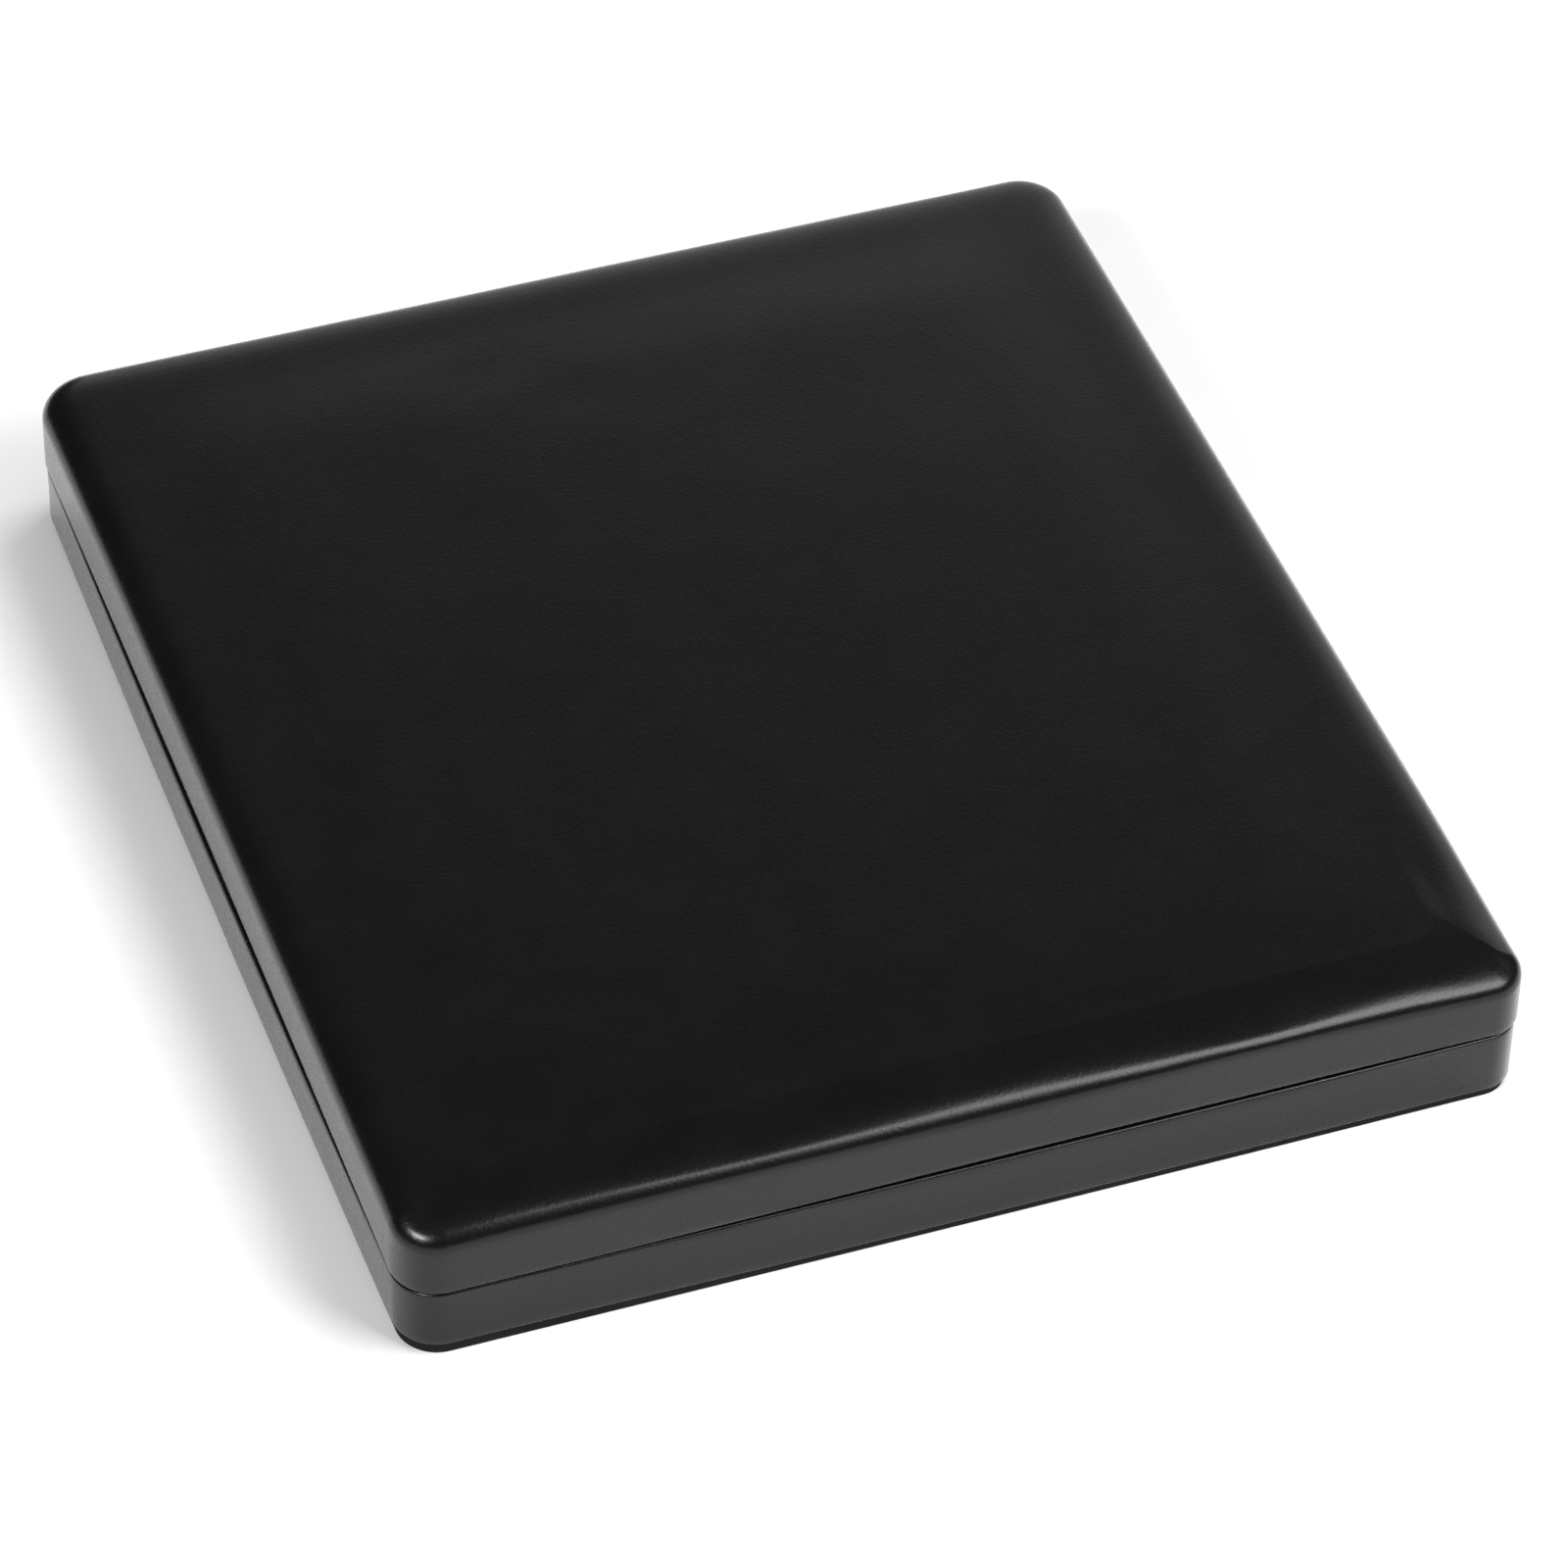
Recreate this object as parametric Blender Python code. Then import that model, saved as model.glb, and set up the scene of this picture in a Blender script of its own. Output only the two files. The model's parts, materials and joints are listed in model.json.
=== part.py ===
"""Leatherette box for four coin slabs: a lower half, a padded lid and two sprung hinges between them.

Metres, +Z up. The origin is under the middle of the closed box, and the front faces -Y.
"""

import math

import bmesh
import bpy
import mathutils

# Outside of the closed box. Its width and depth follow from the pockets, further down
CORNER_RADIUS = 0.0081
SEAM_HEIGHT = 0.0133
SEAM_GAP = 0.0004
LID_WALL_HEIGHT = 0.0100
LID_OVERHANG = 0.00035
SHOULDER_WIDTH = 0.0090
SHOULDER_RISE = 0.0034
CROWN_WIDTH = 0.0300
CROWN_RISE = 0.0003
BOTTOM_EDGE_RADIUS = 0.0015
RIM_EDGE_RADIUS = 0.0004

# Walls and skins
GLUE_GAP = 0.0003
COVER_THICKNESS = 0.0007
SHELL_WALL = 0.0014
SHELL_FLOOR = 0.0016
SHELL_EDGE_RADIUS = 0.0006
TURN_IN = 0.0040
TURN_UNDER = 0.0090
UNDERSIDE_THICKNESS = 0.0005
UNDERSIDE_INSET = 0.0028
SHARPEST_CORNER = 0.0006

# Tray for the slabs
TRAY_BOARD_THICKNESS = 0.0012
TRAY_DROP = 0.0013
POCKET_COLUMNS = 2
POCKET_ROWS = 2
POCKET_WIDTH = 0.0620
POCKET_LENGTH = 0.0870
COLUMN_WEB = 0.0160
ROW_WEB = 0.0083
TRAY_SIDE_WALL = 0.01595
TRAY_END_WALL = 0.0083
POCKET_CORNER = 0.0016
POCKET_MOUTH_CHAMFER = 0.0007
FINGER_WELL_LENGTH = 0.0220
FINGER_WELL_OVERLAP = 0.0020
TRAY_EDGE_CHAMFER = 0.0006

# Lining of the lid
LINING_GAP = 0.0008
LINING_BOARD_THICKNESS = 0.0010
LINING_BOARD_GRIP = 0.0006
SATIN_THICKNESS = 0.0004
WADDING_THICKNESS = 0.0020
LINING_SHOULDER_WIDTH = 0.0060
LINING_CROWN_RISE = 0.0014

# Hinges
OPENING_ANGLE = math.radians(95)
HINGE_FROM_SIDE = 0.0350
HINGE_WIDTH = 0.0220
LID_KNUCKLE_WIDTH = 0.0104
KNUCKLE_RADIUS = 0.0014
KNUCKLE_GAP = 0.0003
PIN_RADIUS = 0.00065
PIN_CLEARANCE = 0.00015
PIN_END_STANDOUT = 0.0002
LEAF_THICKNESS = 0.0005
BASE_LEAF_CLEARANCE = 0.0009
LID_LEAF_CLEARANCE = 0.0006
BARREL_CLEARANCE = 0.0004
SPRING_THICKNESS = 0.0003
SPRING_FOOT_WIDTH = 0.0160
SPRING_TONGUE_WIDTH = 0.0064
SPRING_TIP_RISE = 0.0010
SPRING_TIP_BEND = 0.0003
RIVET_SPACING = 0.0110
RIVET_FROM_LEAF_END = 0.0023
RIVET_RADIUS = 0.0006
RIVET_HEAD_RADIUS = 0.0013
RIVET_HEAD_HEIGHT = 0.0005
RIVET_TAIL_RADIUS = 0.0011
RIVET_TAIL_HEIGHT = 0.0004
RIVET_CLEARANCE = 0.00015

# One overrun serves every cut
OVERRUN = 0.0010

# Faceting, as counts
CORNER_STEPS = 8
POCKET_CORNER_STEPS = 3
EDGE_STEPS = 3
BARREL_SIDES = 24
RIVET_SIDES = 14

# Shape of the padded shoulder, as shares of its width and of its rise, from the wall inwards
SHOULDER_SHARES = (
    (0.0, 0.0),
    (0.012, 0.17),
    (0.050, 0.36),
    (0.12, 0.53),
    (0.22, 0.67),
    (0.36, 0.79),
    (0.52, 0.88),
    (0.75, 0.96),
    (1.0, 1.0),
)

# What follows from the sizes above
BASE_SIDE = 1
LID_SIDE = -1
BASE_RIM = SEAM_HEIGHT - SEAM_GAP / 2
LID_RIM = SEAM_HEIGHT + SEAM_GAP / 2
BASE_SKIN = LID_OVERHANG
BASE_SHELL_SKIN = LID_OVERHANG + COVER_THICKNESS + GLUE_GAP
LID_SHELL_SKIN = COVER_THICKNESS + GLUE_GAP
INNER_FACE = BASE_SHELL_SKIN + SHELL_WALL
TURN_IN_NEAR = INNER_FACE + GLUE_GAP
TURN_IN_FAR = TURN_IN_NEAR + COVER_THICKNESS
COVER_BOTTOM = UNDERSIDE_THICKNESS + GLUE_GAP
SHELL_BOTTOM = COVER_BOTTOM + COVER_THICKNESS + GLUE_GAP
FLOOR_TOP = SHELL_BOTTOM + SHELL_FLOOR
TRAY_BOARD_BOTTOM = FLOOR_TOP + GLUE_GAP
TRAY_BOTTOM = TRAY_BOARD_BOTTOM + TRAY_BOARD_THICKNESS + GLUE_GAP
TRAY_TOP = SEAM_HEIGHT - TRAY_DROP
TRAY_INSET = TURN_IN_FAR + GLUE_GAP
TRAY_WIDTH = POCKET_COLUMNS * (POCKET_WIDTH + COLUMN_WEB) - COLUMN_WEB + 2 * TRAY_SIDE_WALL
TRAY_DEPTH = POCKET_ROWS * (POCKET_LENGTH + ROW_WEB) - ROW_WEB + 2 * TRAY_END_WALL
BOX_WIDTH = TRAY_WIDTH + 2 * TRAY_INSET
BOX_DEPTH = TRAY_DEPTH + 2 * TRAY_INSET
LID_WALL_TOP = SEAM_HEIGHT + LID_WALL_HEIGHT
LID_PLATE_TOP = LID_WALL_TOP - GLUE_GAP
LID_PLATE_BOTTOM = LID_PLATE_TOP - SHELL_FLOOR
FOAM_BOTTOM = LID_PLATE_TOP + GLUE_GAP
LINING_INSET = TURN_IN_FAR + LINING_GAP
LINING_BOARD_TOP = LID_PLATE_BOTTOM - GLUE_GAP
LINING_BOARD_BOTTOM = LINING_BOARD_TOP - LINING_BOARD_THICKNESS
WADDING_INSET = LINING_INSET + SATIN_THICKNESS + GLUE_GAP
WADDING_TOP = LINING_BOARD_BOTTOM - GLUE_GAP
WADDING_BOTTOM = WADDING_TOP - WADDING_THICKNESS

LEAF_NEAR = INNER_FACE + GLUE_GAP
LEAF_FAR = LEAF_NEAR + LEAF_THICKNESS
AXIS_Y = BOX_DEPTH / 2 - (LEAF_FAR - KNUCKLE_RADIUS)
AXIS_Z = SEAM_HEIGHT
BASE_LEAF_END = TRAY_BOARD_BOTTOM + TRAY_BOARD_THICKNESS + BASE_LEAF_CLEARANCE
LID_LEAF_END = LID_PLATE_BOTTOM - LID_LEAF_CLEARANCE
BASE_RIVET_HEIGHT = BASE_LEAF_END + RIVET_FROM_LEAF_END
LID_RIVET_HEIGHT = LID_LEAF_END - RIVET_FROM_LEAF_END
GROOVE_ANGLE = OPENING_ANGLE / 2
BASE_KNUCKLE_WIDTH = (HINGE_WIDTH - LID_KNUCKLE_WIDTH) / 2 - KNUCKLE_GAP
HINGE_OFFSET = BOX_WIDTH / 2 - HINGE_FROM_SIDE
HINGE_PLACES = (("left", -HINGE_OFFSET), ("right", HINGE_OFFSET))
RIVET_PLACES = (("left", -RIVET_SPACING / 2), ("right", RIVET_SPACING / 2))


def clear_scene():
    for thing in list(bpy.data.objects):
        bpy.data.objects.remove(thing, do_unlink=True)


def finish(name, colour, roughness, metallic=0.0):
    """A plain material with the colour that the piece has."""
    material = bpy.data.materials.new(name)
    material.use_nodes = True
    shader = material.node_tree.nodes["Principled BSDF"]
    shader.inputs["Base Color"].default_value = (*colour, 1.0)
    shader.inputs["Roughness"].default_value = roughness
    shader.inputs["Metallic"].default_value = metallic
    return material


def make_finishes():
    return {
        "leatherette": finish("black_leatherette", (0.010, 0.010, 0.011), 0.42),
        "shell": finish("black_moulded_shell", (0.020, 0.020, 0.021), 0.50),
        "foam": finish("grey_padding_foam", (0.200, 0.200, 0.205), 0.95),
        "velour": finish("black_velour", (0.012, 0.012, 0.014), 0.95),
        "satin": finish("black_satin", (0.020, 0.020, 0.023), 0.35),
        "board": finish("grey_board", (0.250, 0.235, 0.210), 0.90),
        "paper": finish("black_backing_paper", (0.018, 0.018, 0.018), 0.70),
        "steel": finish("nickelled_steel", (0.550, 0.545, 0.530), 0.30, 1.0),
    }


def add_object(name, mesh, material, parent=None):
    thing = bpy.data.objects.new(name, mesh)
    bpy.context.scene.collection.objects.link(thing)
    if material:
        mesh.materials.append(material)
    if parent:
        thing.parent = parent
        thing.matrix_parent_inverse = parent.matrix_world.inverted()
    return thing


def mesh_from_rings(name, rings, looped, smooth_angle=math.radians(35)):
    """One closed body through rings of like counts, with an end face on both ends or joined end to end."""
    body = bmesh.new()
    rows = [[body.verts.new(point) for point in ring] for ring in rings]
    count = len(rows[0])
    pairs = list(zip(rows, rows[1:]))
    if looped:
        pairs.append((rows[-1], rows[0]))
    for first, second in pairs:
        for i in range(count):
            j = (i + 1) % count
            body.faces.new((first[i], first[j], second[j], second[i]))
    if not looped:
        body.faces.new(rows[0])
        body.faces.new(rows[-1])
    bmesh.ops.recalc_face_normals(body, faces=body.faces)
    mesh = bpy.data.meshes.new(name)
    body.to_mesh(mesh)
    body.free()
    mesh.shade_smooth()
    mesh.set_sharp_from_angle(angle=smooth_angle)
    return mesh


def corner_angles(start, steps, bend_share):
    """Angles round one corner. Where the bend share is given, a point lies at that share of the turn."""
    if bend_share is None:
        return [start + 90 * step / steps for step in range(steps + 1)]
    half = steps // 2
    before = [bend_share * step / half for step in range(half)]
    after = [bend_share + (1 - bend_share) * step / (steps - half) for step in range(steps - half + 1)]
    return [start + 90 * share for share in before + after]


def rounded_outline(width, depth, radius, steps, centre=(0.0, 0.0), bend_y=None):
    """Points of a rectangle with round corners, the right front corner first.

    Both back corners get a point at bend_y, where the back rim begins to fall away.
    """
    points = []
    radius = max(radius, SHARPEST_CORNER)
    rise_share = None
    if bend_y is not None:
        sine = (bend_y - (depth / 2 - radius)) / radius
        rise_share = math.degrees(math.asin(min(max(sine, 0.2), 0.95))) / 90
    corners = ((1, -1, -90, None), (1, 1, 0, rise_share), (-1, 1, 90, rise_share), (-1, -1, 180, None))
    for side_x, side_y, start, bend_share in corners:
        if bend_share is not None and side_x < 0:
            bend_share = 1 - bend_share
        corner_x = centre[0] + side_x * (width / 2 - radius)
        corner_y = centre[1] + side_y * (depth / 2 - radius)
        for degrees in corner_angles(start, steps, bend_share):
            angle = math.radians(degrees)
            points.append((corner_x + radius * math.cos(angle), corner_y + radius * math.sin(angle)))
    return points


def groove_limit(y, behind):
    """How far a half stays from the seam's middle at this Y, for a surface that lies behind its skin."""
    past_axis = y - AXIS_Y
    return SEAM_GAP / 2 + past_axis * math.tan(GROOVE_ANGLE) + behind / math.cos(GROOVE_ANGLE)


def groove_start(behind):
    """The Y where a surface this far behind the skin turns from the flat rim into the groove."""
    return AXIS_Y - behind * math.tan(GROOVE_ANGLE / 2)


def box_ring(inset, z, side=0, behind=0.0):
    """A ring round the box, this far inside the lid's outline. Its back follows the hinge groove."""
    points = []
    outline = rounded_outline(
        BOX_WIDTH - 2 * inset,
        BOX_DEPTH - 2 * inset,
        CORNER_RADIUS - inset,
        CORNER_STEPS,
        bend_y=groove_start(behind),
    )
    for x, y in outline:
        height = z
        if side == BASE_SIDE:
            height = min(z, SEAM_HEIGHT - groove_limit(y, behind))
        if side == LID_SIDE:
            height = max(z, SEAM_HEIGHT + groove_limit(y, behind))
        points.append((x, y, height))
    return points


def add_ring_piece(name, sections, material, looped=False, parent=None):
    rings = [box_ring(*section) for section in sections]
    return add_object(name, mesh_from_rings(name, rings, looped), material, parent)


def quarter(inset, z, radius, start, end):
    """Inset and height along a quarter of a round edge, from one angle to the other, in degrees."""
    points = []
    for step in range(EDGE_STEPS + 1):
        angle = math.radians(start + (end - start) * step / EDGE_STEPS)
        points.append((inset - radius * math.cos(angle), z + radius * math.sin(angle)))
    return points


def offset_profile(points, distance):
    """The same profile, this far inside. Points run from the wall up and inwards."""
    moved = []
    for i, (inset, z) in enumerate(points):
        before = points[max(i - 1, 0)]
        after = points[min(i + 1, len(points) - 1)]
        run = mathutils.Vector((after[0] - before[0], after[1] - before[1])).normalized()
        moved.append((inset + distance * run.y, z - distance * run.x))
    return moved


def lid_top_profile():
    """Outside of the lid from the top of its wall, over the padded shoulder, to the crown."""
    points = []
    for width_share, rise_share in SHOULDER_SHARES:
        points.append((SHOULDER_WIDTH * width_share, LID_WALL_TOP + SHOULDER_RISE * rise_share))
    points.append((CROWN_WIDTH, LID_WALL_TOP + SHOULDER_RISE + CROWN_RISE))
    return points


def box_mesh(name, low, high):
    """A plain block between two corners."""
    corners = [
        [(low[0], low[1], z), (high[0], low[1], z), (high[0], high[1], z), (low[0], high[1], z)]
        for z in (low[2], high[2])
    ]
    return mesh_from_rings(name, corners, looped=False)


def turned_mesh(name, profile, sides, along, centre):
    """A round piece about a line along X or Y through the centre. The profile holds radius and distance."""
    rings = []
    for radius, distance in profile:
        ring = []
        for i in range(sides):
            angle = 2 * math.pi * i / sides
            across, up = radius * math.cos(angle), radius * math.sin(angle)
            if along == "X":
                point = (centre[0] + distance, centre[1] + across, centre[2] + up)
            else:
                point = (centre[0] + across, centre[1] + distance, centre[2] + up)
            ring.append(point)
        rings.append(ring)
    return mesh_from_rings(name, rings, looped=False)


def merged_mesh(name, meshes):
    """Several separate closed meshes as one, for a cutter."""
    body = bmesh.new()
    for mesh in meshes:
        body.from_mesh(mesh)
    merged = bpy.data.meshes.new(name)
    body.to_mesh(merged)
    body.free()
    for mesh in meshes:
        bpy.data.meshes.remove(mesh)
    return merged


def helper(name, mesh):
    thing = add_object(name, mesh, None)
    thing.hide_render = True
    thing.display_type = "WIRE"
    return thing


def combine(thing, other, operation):
    modifier = thing.modifiers.new(other.name, "BOOLEAN")
    modifier.operation = operation
    modifier.solver = "EXACT"
    modifier.object = other


def make_base_cover(finishes):
    """Leatherette round the lower half: turned under the floor, up the wall and over the rim."""
    skin = BASE_SKIN
    edge = BOTTOM_EDGE_RADIUS
    inner_bend = BOX_DEPTH / 2 - groove_start(COVER_THICKNESS)
    sections = [(skin + TURN_UNDER, COVER_BOTTOM)]
    sections += quarter(skin + edge, COVER_BOTTOM + edge, edge, -90, 0)
    sections = [(inset, z, BASE_SIDE, 0.0) for inset, z in sections]
    rim_edge = quarter(skin + RIM_EDGE_RADIUS, BASE_RIM - RIM_EDGE_RADIUS, RIM_EDGE_RADIUS, 0, 90)
    sections += [(inset, z, BASE_SIDE, 0.0) for inset, z in rim_edge]
    sections += [
        (BOX_DEPTH / 2 - groove_start(0.0), BASE_RIM, BASE_SIDE, 0.0),
        (TURN_IN_FAR, BASE_RIM, BASE_SIDE, 0.0),
        (TURN_IN_FAR, BASE_RIM - TURN_IN, BASE_SIDE, 0.0),
        (TURN_IN_NEAR, BASE_RIM - TURN_IN, BASE_SIDE, 0.0),
        (TURN_IN_NEAR, BASE_RIM - COVER_THICKNESS, BASE_SIDE, COVER_THICKNESS),
        (inner_bend, BASE_RIM - COVER_THICKNESS, BASE_SIDE, COVER_THICKNESS),
        (skin + COVER_THICKNESS, BASE_RIM - COVER_THICKNESS, BASE_SIDE, COVER_THICKNESS),
    ]
    inner_edge = quarter(skin + edge, COVER_BOTTOM + edge, edge - COVER_THICKNESS, 0, -90)
    sections += [(inset, z, BASE_SIDE, COVER_THICKNESS) for inset, z in inner_edge]
    sections.append((skin + TURN_UNDER, COVER_BOTTOM + COVER_THICKNESS, BASE_SIDE, 0.0))
    return add_ring_piece("base_cover", sections, finishes["leatherette"], looped=True)


def make_base_shell(finishes):
    """Moulded lower half: a floor and four walls."""
    behind = COVER_THICKNESS + GLUE_GAP
    edge = SHELL_EDGE_RADIUS
    sections = quarter(BASE_SHELL_SKIN + edge, SHELL_BOTTOM + edge, edge, -90, 0)
    sections += [
        (BASE_SHELL_SKIN, BASE_RIM - behind),
        (INNER_FACE, BASE_RIM - behind),
        (INNER_FACE, FLOOR_TOP + edge),
        (INNER_FACE + edge, FLOOR_TOP),
    ]
    sections = [(inset, z, BASE_SIDE, behind) for inset, z in sections]
    return add_ring_piece("base_shell", sections, finishes["shell"])


def make_underside(finishes):
    sections = [(UNDERSIDE_INSET, 0.0), (UNDERSIDE_INSET, UNDERSIDE_THICKNESS)]
    return add_ring_piece("underside_panel", sections, finishes["paper"])


def make_tray_board(finishes):
    top = TRAY_BOARD_BOTTOM + TRAY_BOARD_THICKNESS
    sections = [(TRAY_INSET, TRAY_BOARD_BOTTOM), (TRAY_INSET, top)]
    return add_ring_piece("tray_board", sections, finishes["velour"])


def pocket_centres():
    pitch_x = POCKET_WIDTH + COLUMN_WEB
    pitch_y = POCKET_LENGTH + ROW_WEB
    for column in range(POCKET_COLUMNS):
        for row in range(POCKET_ROWS):
            x = (column - (POCKET_COLUMNS - 1) / 2) * pitch_x
            y = (row - (POCKET_ROWS - 1) / 2) * pitch_y
            yield x, y


def flared_cutter_mesh(name, width, length, corner, centre):
    """A cutter right through the tray frame, wider at its mouth by the chamfer."""
    flare = POCKET_MOUTH_CHAMFER
    levels = (
        (0.0, TRAY_BOTTOM - OVERRUN),
        (0.0, TRAY_TOP - flare),
        (2 * flare, TRAY_TOP),
        (2 * flare, TRAY_TOP + OVERRUN),
    )
    rings = []
    for wider, z in levels:
        outline = rounded_outline(width + wider, length + wider, corner, POCKET_CORNER_STEPS, centre)
        rings.append([(x, y, z) for x, y in outline])
    return mesh_from_rings(name, rings, looped=False)


def make_tray_frame(finishes):
    """Velour-covered frame with a pocket for each slab and a finger well between each pair of pockets."""
    sections = [
        (TRAY_INSET, TRAY_BOTTOM),
        (TRAY_INSET, TRAY_TOP - TRAY_EDGE_CHAMFER),
        (TRAY_INSET + TRAY_EDGE_CHAMFER, TRAY_TOP),
    ]
    frame = add_ring_piece("tray_frame", sections, finishes["velour"])
    pockets = [
        flared_cutter_mesh("pocket", POCKET_WIDTH, POCKET_LENGTH, POCKET_CORNER, centre)
        for centre in pocket_centres()
    ]
    combine(frame, helper("pocket_cutter", merged_mesh("pocket_cutter", pockets)), "DIFFERENCE")
    well_width = COLUMN_WEB + 2 * FINGER_WELL_OVERLAP
    wells = []
    for x, y in pocket_centres():
        if x + POCKET_WIDTH + COLUMN_WEB < TRAY_WIDTH / 2:
            well_x = x + (POCKET_WIDTH + COLUMN_WEB) / 2
            mesh = flared_cutter_mesh("well", well_width, FINGER_WELL_LENGTH, POCKET_CORNER, (well_x, y))
            wells.append(mesh)
    combine(frame, helper("finger_well_cutter", merged_mesh("finger_well_cutter", wells)), "DIFFERENCE")
    room = RIVET_HEAD_HEIGHT + SPRING_THICKNESS + 2 * RIVET_CLEARANCE + GLUE_GAP
    notches = []
    for _, x in HINGE_PLACES:
        half = HINGE_WIDTH / 2 + BARREL_CLEARANCE
        low = (x - half, BOX_DEPTH / 2 - LEAF_FAR - room, TRAY_BOTTOM - OVERRUN)
        high = (x + half, BOX_DEPTH / 2, TRAY_TOP + OVERRUN)
        notches.append(box_mesh("notch", low, high))
    combine(frame, helper("tray_notch_cutter", merged_mesh("tray_notch_cutter", notches)), "DIFFERENCE")
    return frame


def make_lid_shell(finishes, parent):
    """Moulded upper half: a plate and four walls, open below."""
    behind = COVER_THICKNESS + GLUE_GAP
    edge = SHELL_EDGE_RADIUS
    sections = quarter(LID_SHELL_SKIN + edge, LID_PLATE_TOP - edge, edge, 90, 0)
    sections += [
        (LID_SHELL_SKIN, LID_RIM + behind),
        (INNER_FACE, LID_RIM + behind),
        (INNER_FACE, LID_PLATE_BOTTOM - edge),
        (INNER_FACE + edge, LID_PLATE_BOTTOM),
    ]
    sections = [(inset, z, LID_SIDE, behind) for inset, z in sections]
    return add_ring_piece("lid_shell", sections, finishes["shell"], parent=parent)


def make_lid_foam(finishes, parent):
    """Foam pad on the lid's plate, thinner towards its edge."""
    top = [
        (inset, z)
        for inset, z in offset_profile(lid_top_profile(), COVER_THICKNESS + GLUE_GAP)
        if z > FOAM_BOTTOM + GLUE_GAP
    ]
    sections = [(top[0][0], FOAM_BOTTOM)] + top
    return add_ring_piece("lid_foam", sections, finishes["foam"], parent=parent)


def make_lid_cover(finishes, parent):
    """Leatherette over the padded lid, down the wall, over the rim and up the inner face."""
    outside = lid_top_profile()
    inside = offset_profile(outside, COVER_THICKNESS)
    inner_bend = BOX_DEPTH / 2 - groove_start(COVER_THICKNESS)
    sections = [(inset, z, LID_SIDE, 0.0) for inset, z in reversed(outside)]
    rim_edge = quarter(RIM_EDGE_RADIUS, LID_RIM + RIM_EDGE_RADIUS, RIM_EDGE_RADIUS, 0, -90)
    sections += [(inset, z, LID_SIDE, 0.0) for inset, z in rim_edge]
    sections += [
        (BOX_DEPTH / 2 - groove_start(0.0), LID_RIM, LID_SIDE, 0.0),
        (TURN_IN_FAR, LID_RIM, LID_SIDE, 0.0),
        (TURN_IN_FAR, LID_RIM + TURN_IN, LID_SIDE, 0.0),
        (TURN_IN_NEAR, LID_RIM + TURN_IN, LID_SIDE, 0.0),
        (TURN_IN_NEAR, LID_RIM + COVER_THICKNESS, LID_SIDE, COVER_THICKNESS),
        (inner_bend, LID_RIM + COVER_THICKNESS, LID_SIDE, COVER_THICKNESS),
        (COVER_THICKNESS, LID_RIM + COVER_THICKNESS, LID_SIDE, COVER_THICKNESS),
    ]
    sections += [(inset, z, LID_SIDE, COVER_THICKNESS) for inset, z in inside]
    return add_ring_piece("lid_cover", sections, finishes["leatherette"], parent=parent)


def lining_profile(inset, bottom):
    """Underside of the lid's lining, from its side wall to the crown, which hangs lowest in the middle."""
    points = []
    for width_share, rise_share in SHOULDER_SHARES:
        drop = LINING_CROWN_RISE * rise_share
        points.append((inset + LINING_SHOULDER_WIDTH * width_share, bottom - drop))
    return points


def make_lining(finishes, parent):
    """Board, wadding and satin that line the lid."""
    board = [(WADDING_INSET, LINING_BOARD_BOTTOM), (WADDING_INSET, LINING_BOARD_TOP)]
    add_ring_piece("lining_board", board, finishes["board"], parent=parent)
    wadding = [(WADDING_INSET, WADDING_TOP)] + lining_profile(WADDING_INSET, WADDING_BOTTOM)
    add_ring_piece("lining_wadding", wadding, finishes["foam"], parent=parent)
    satin_rim = LINING_BOARD_BOTTOM + LINING_BOARD_GRIP
    between = SATIN_THICKNESS + GLUE_GAP
    outside = lining_profile(LINING_INSET, WADDING_BOTTOM - between)
    inside = lining_profile(LINING_INSET + SATIN_THICKNESS, WADDING_BOTTOM - GLUE_GAP)
    sections = list(reversed(outside))
    sections += [(LINING_INSET, satin_rim), (LINING_INSET + SATIN_THICKNESS, satin_rim)]
    sections += inside
    add_ring_piece("lining_satin", sections, finishes["satin"], parent=parent)


def knuckle_mesh(x_from, x_to):
    profile = ((KNUCKLE_RADIUS, 0.0), (KNUCKLE_RADIUS, x_to - x_from))
    return turned_mesh("knuckle", profile, BARREL_SIDES, "X", (x_from, AXIS_Y, AXIS_Z))


def bore_cutter(name, x):
    length = HINGE_WIDTH + 2 * OVERRUN
    profile = ((PIN_RADIUS + PIN_CLEARANCE, 0.0), (PIN_RADIUS + PIN_CLEARANCE, length))
    centre = (x - length / 2, AXIS_Y, AXIS_Z)
    return helper(name, turned_mesh(name, profile, BARREL_SIDES, "X", centre))


def rivet_hole_cutter(name, x, z):
    """Two holes through a wall and its leaf, with a counterbore for each tail in the wall's outer face."""
    wall_y = BOX_DEPTH / 2
    meshes = []
    for _, along in RIVET_PLACES:
        radius = RIVET_RADIUS + RIVET_CLEARANCE
        depth = LEAF_FAR + SPRING_THICKNESS + 2 * OVERRUN
        profile = ((radius, -depth), (radius, 0.0))
        meshes.append(turned_mesh("hole", profile, RIVET_SIDES, "Y", (x + along, wall_y, z)))
    return helper(name, merged_mesh(name, meshes))


def counterbore_cutter(name, x, z, skin):
    meshes = []
    radius = RIVET_TAIL_RADIUS + RIVET_CLEARANCE
    depth = skin + RIVET_TAIL_HEIGHT + 2 * RIVET_CLEARANCE
    for _, along in RIVET_PLACES:
        profile = ((radius, -depth), (radius, OVERRUN))
        meshes.append(turned_mesh("bore", profile, RIVET_SIDES, "Y", (x + along, BOX_DEPTH / 2, z)))
    return helper(name, merged_mesh(name, meshes))


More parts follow.
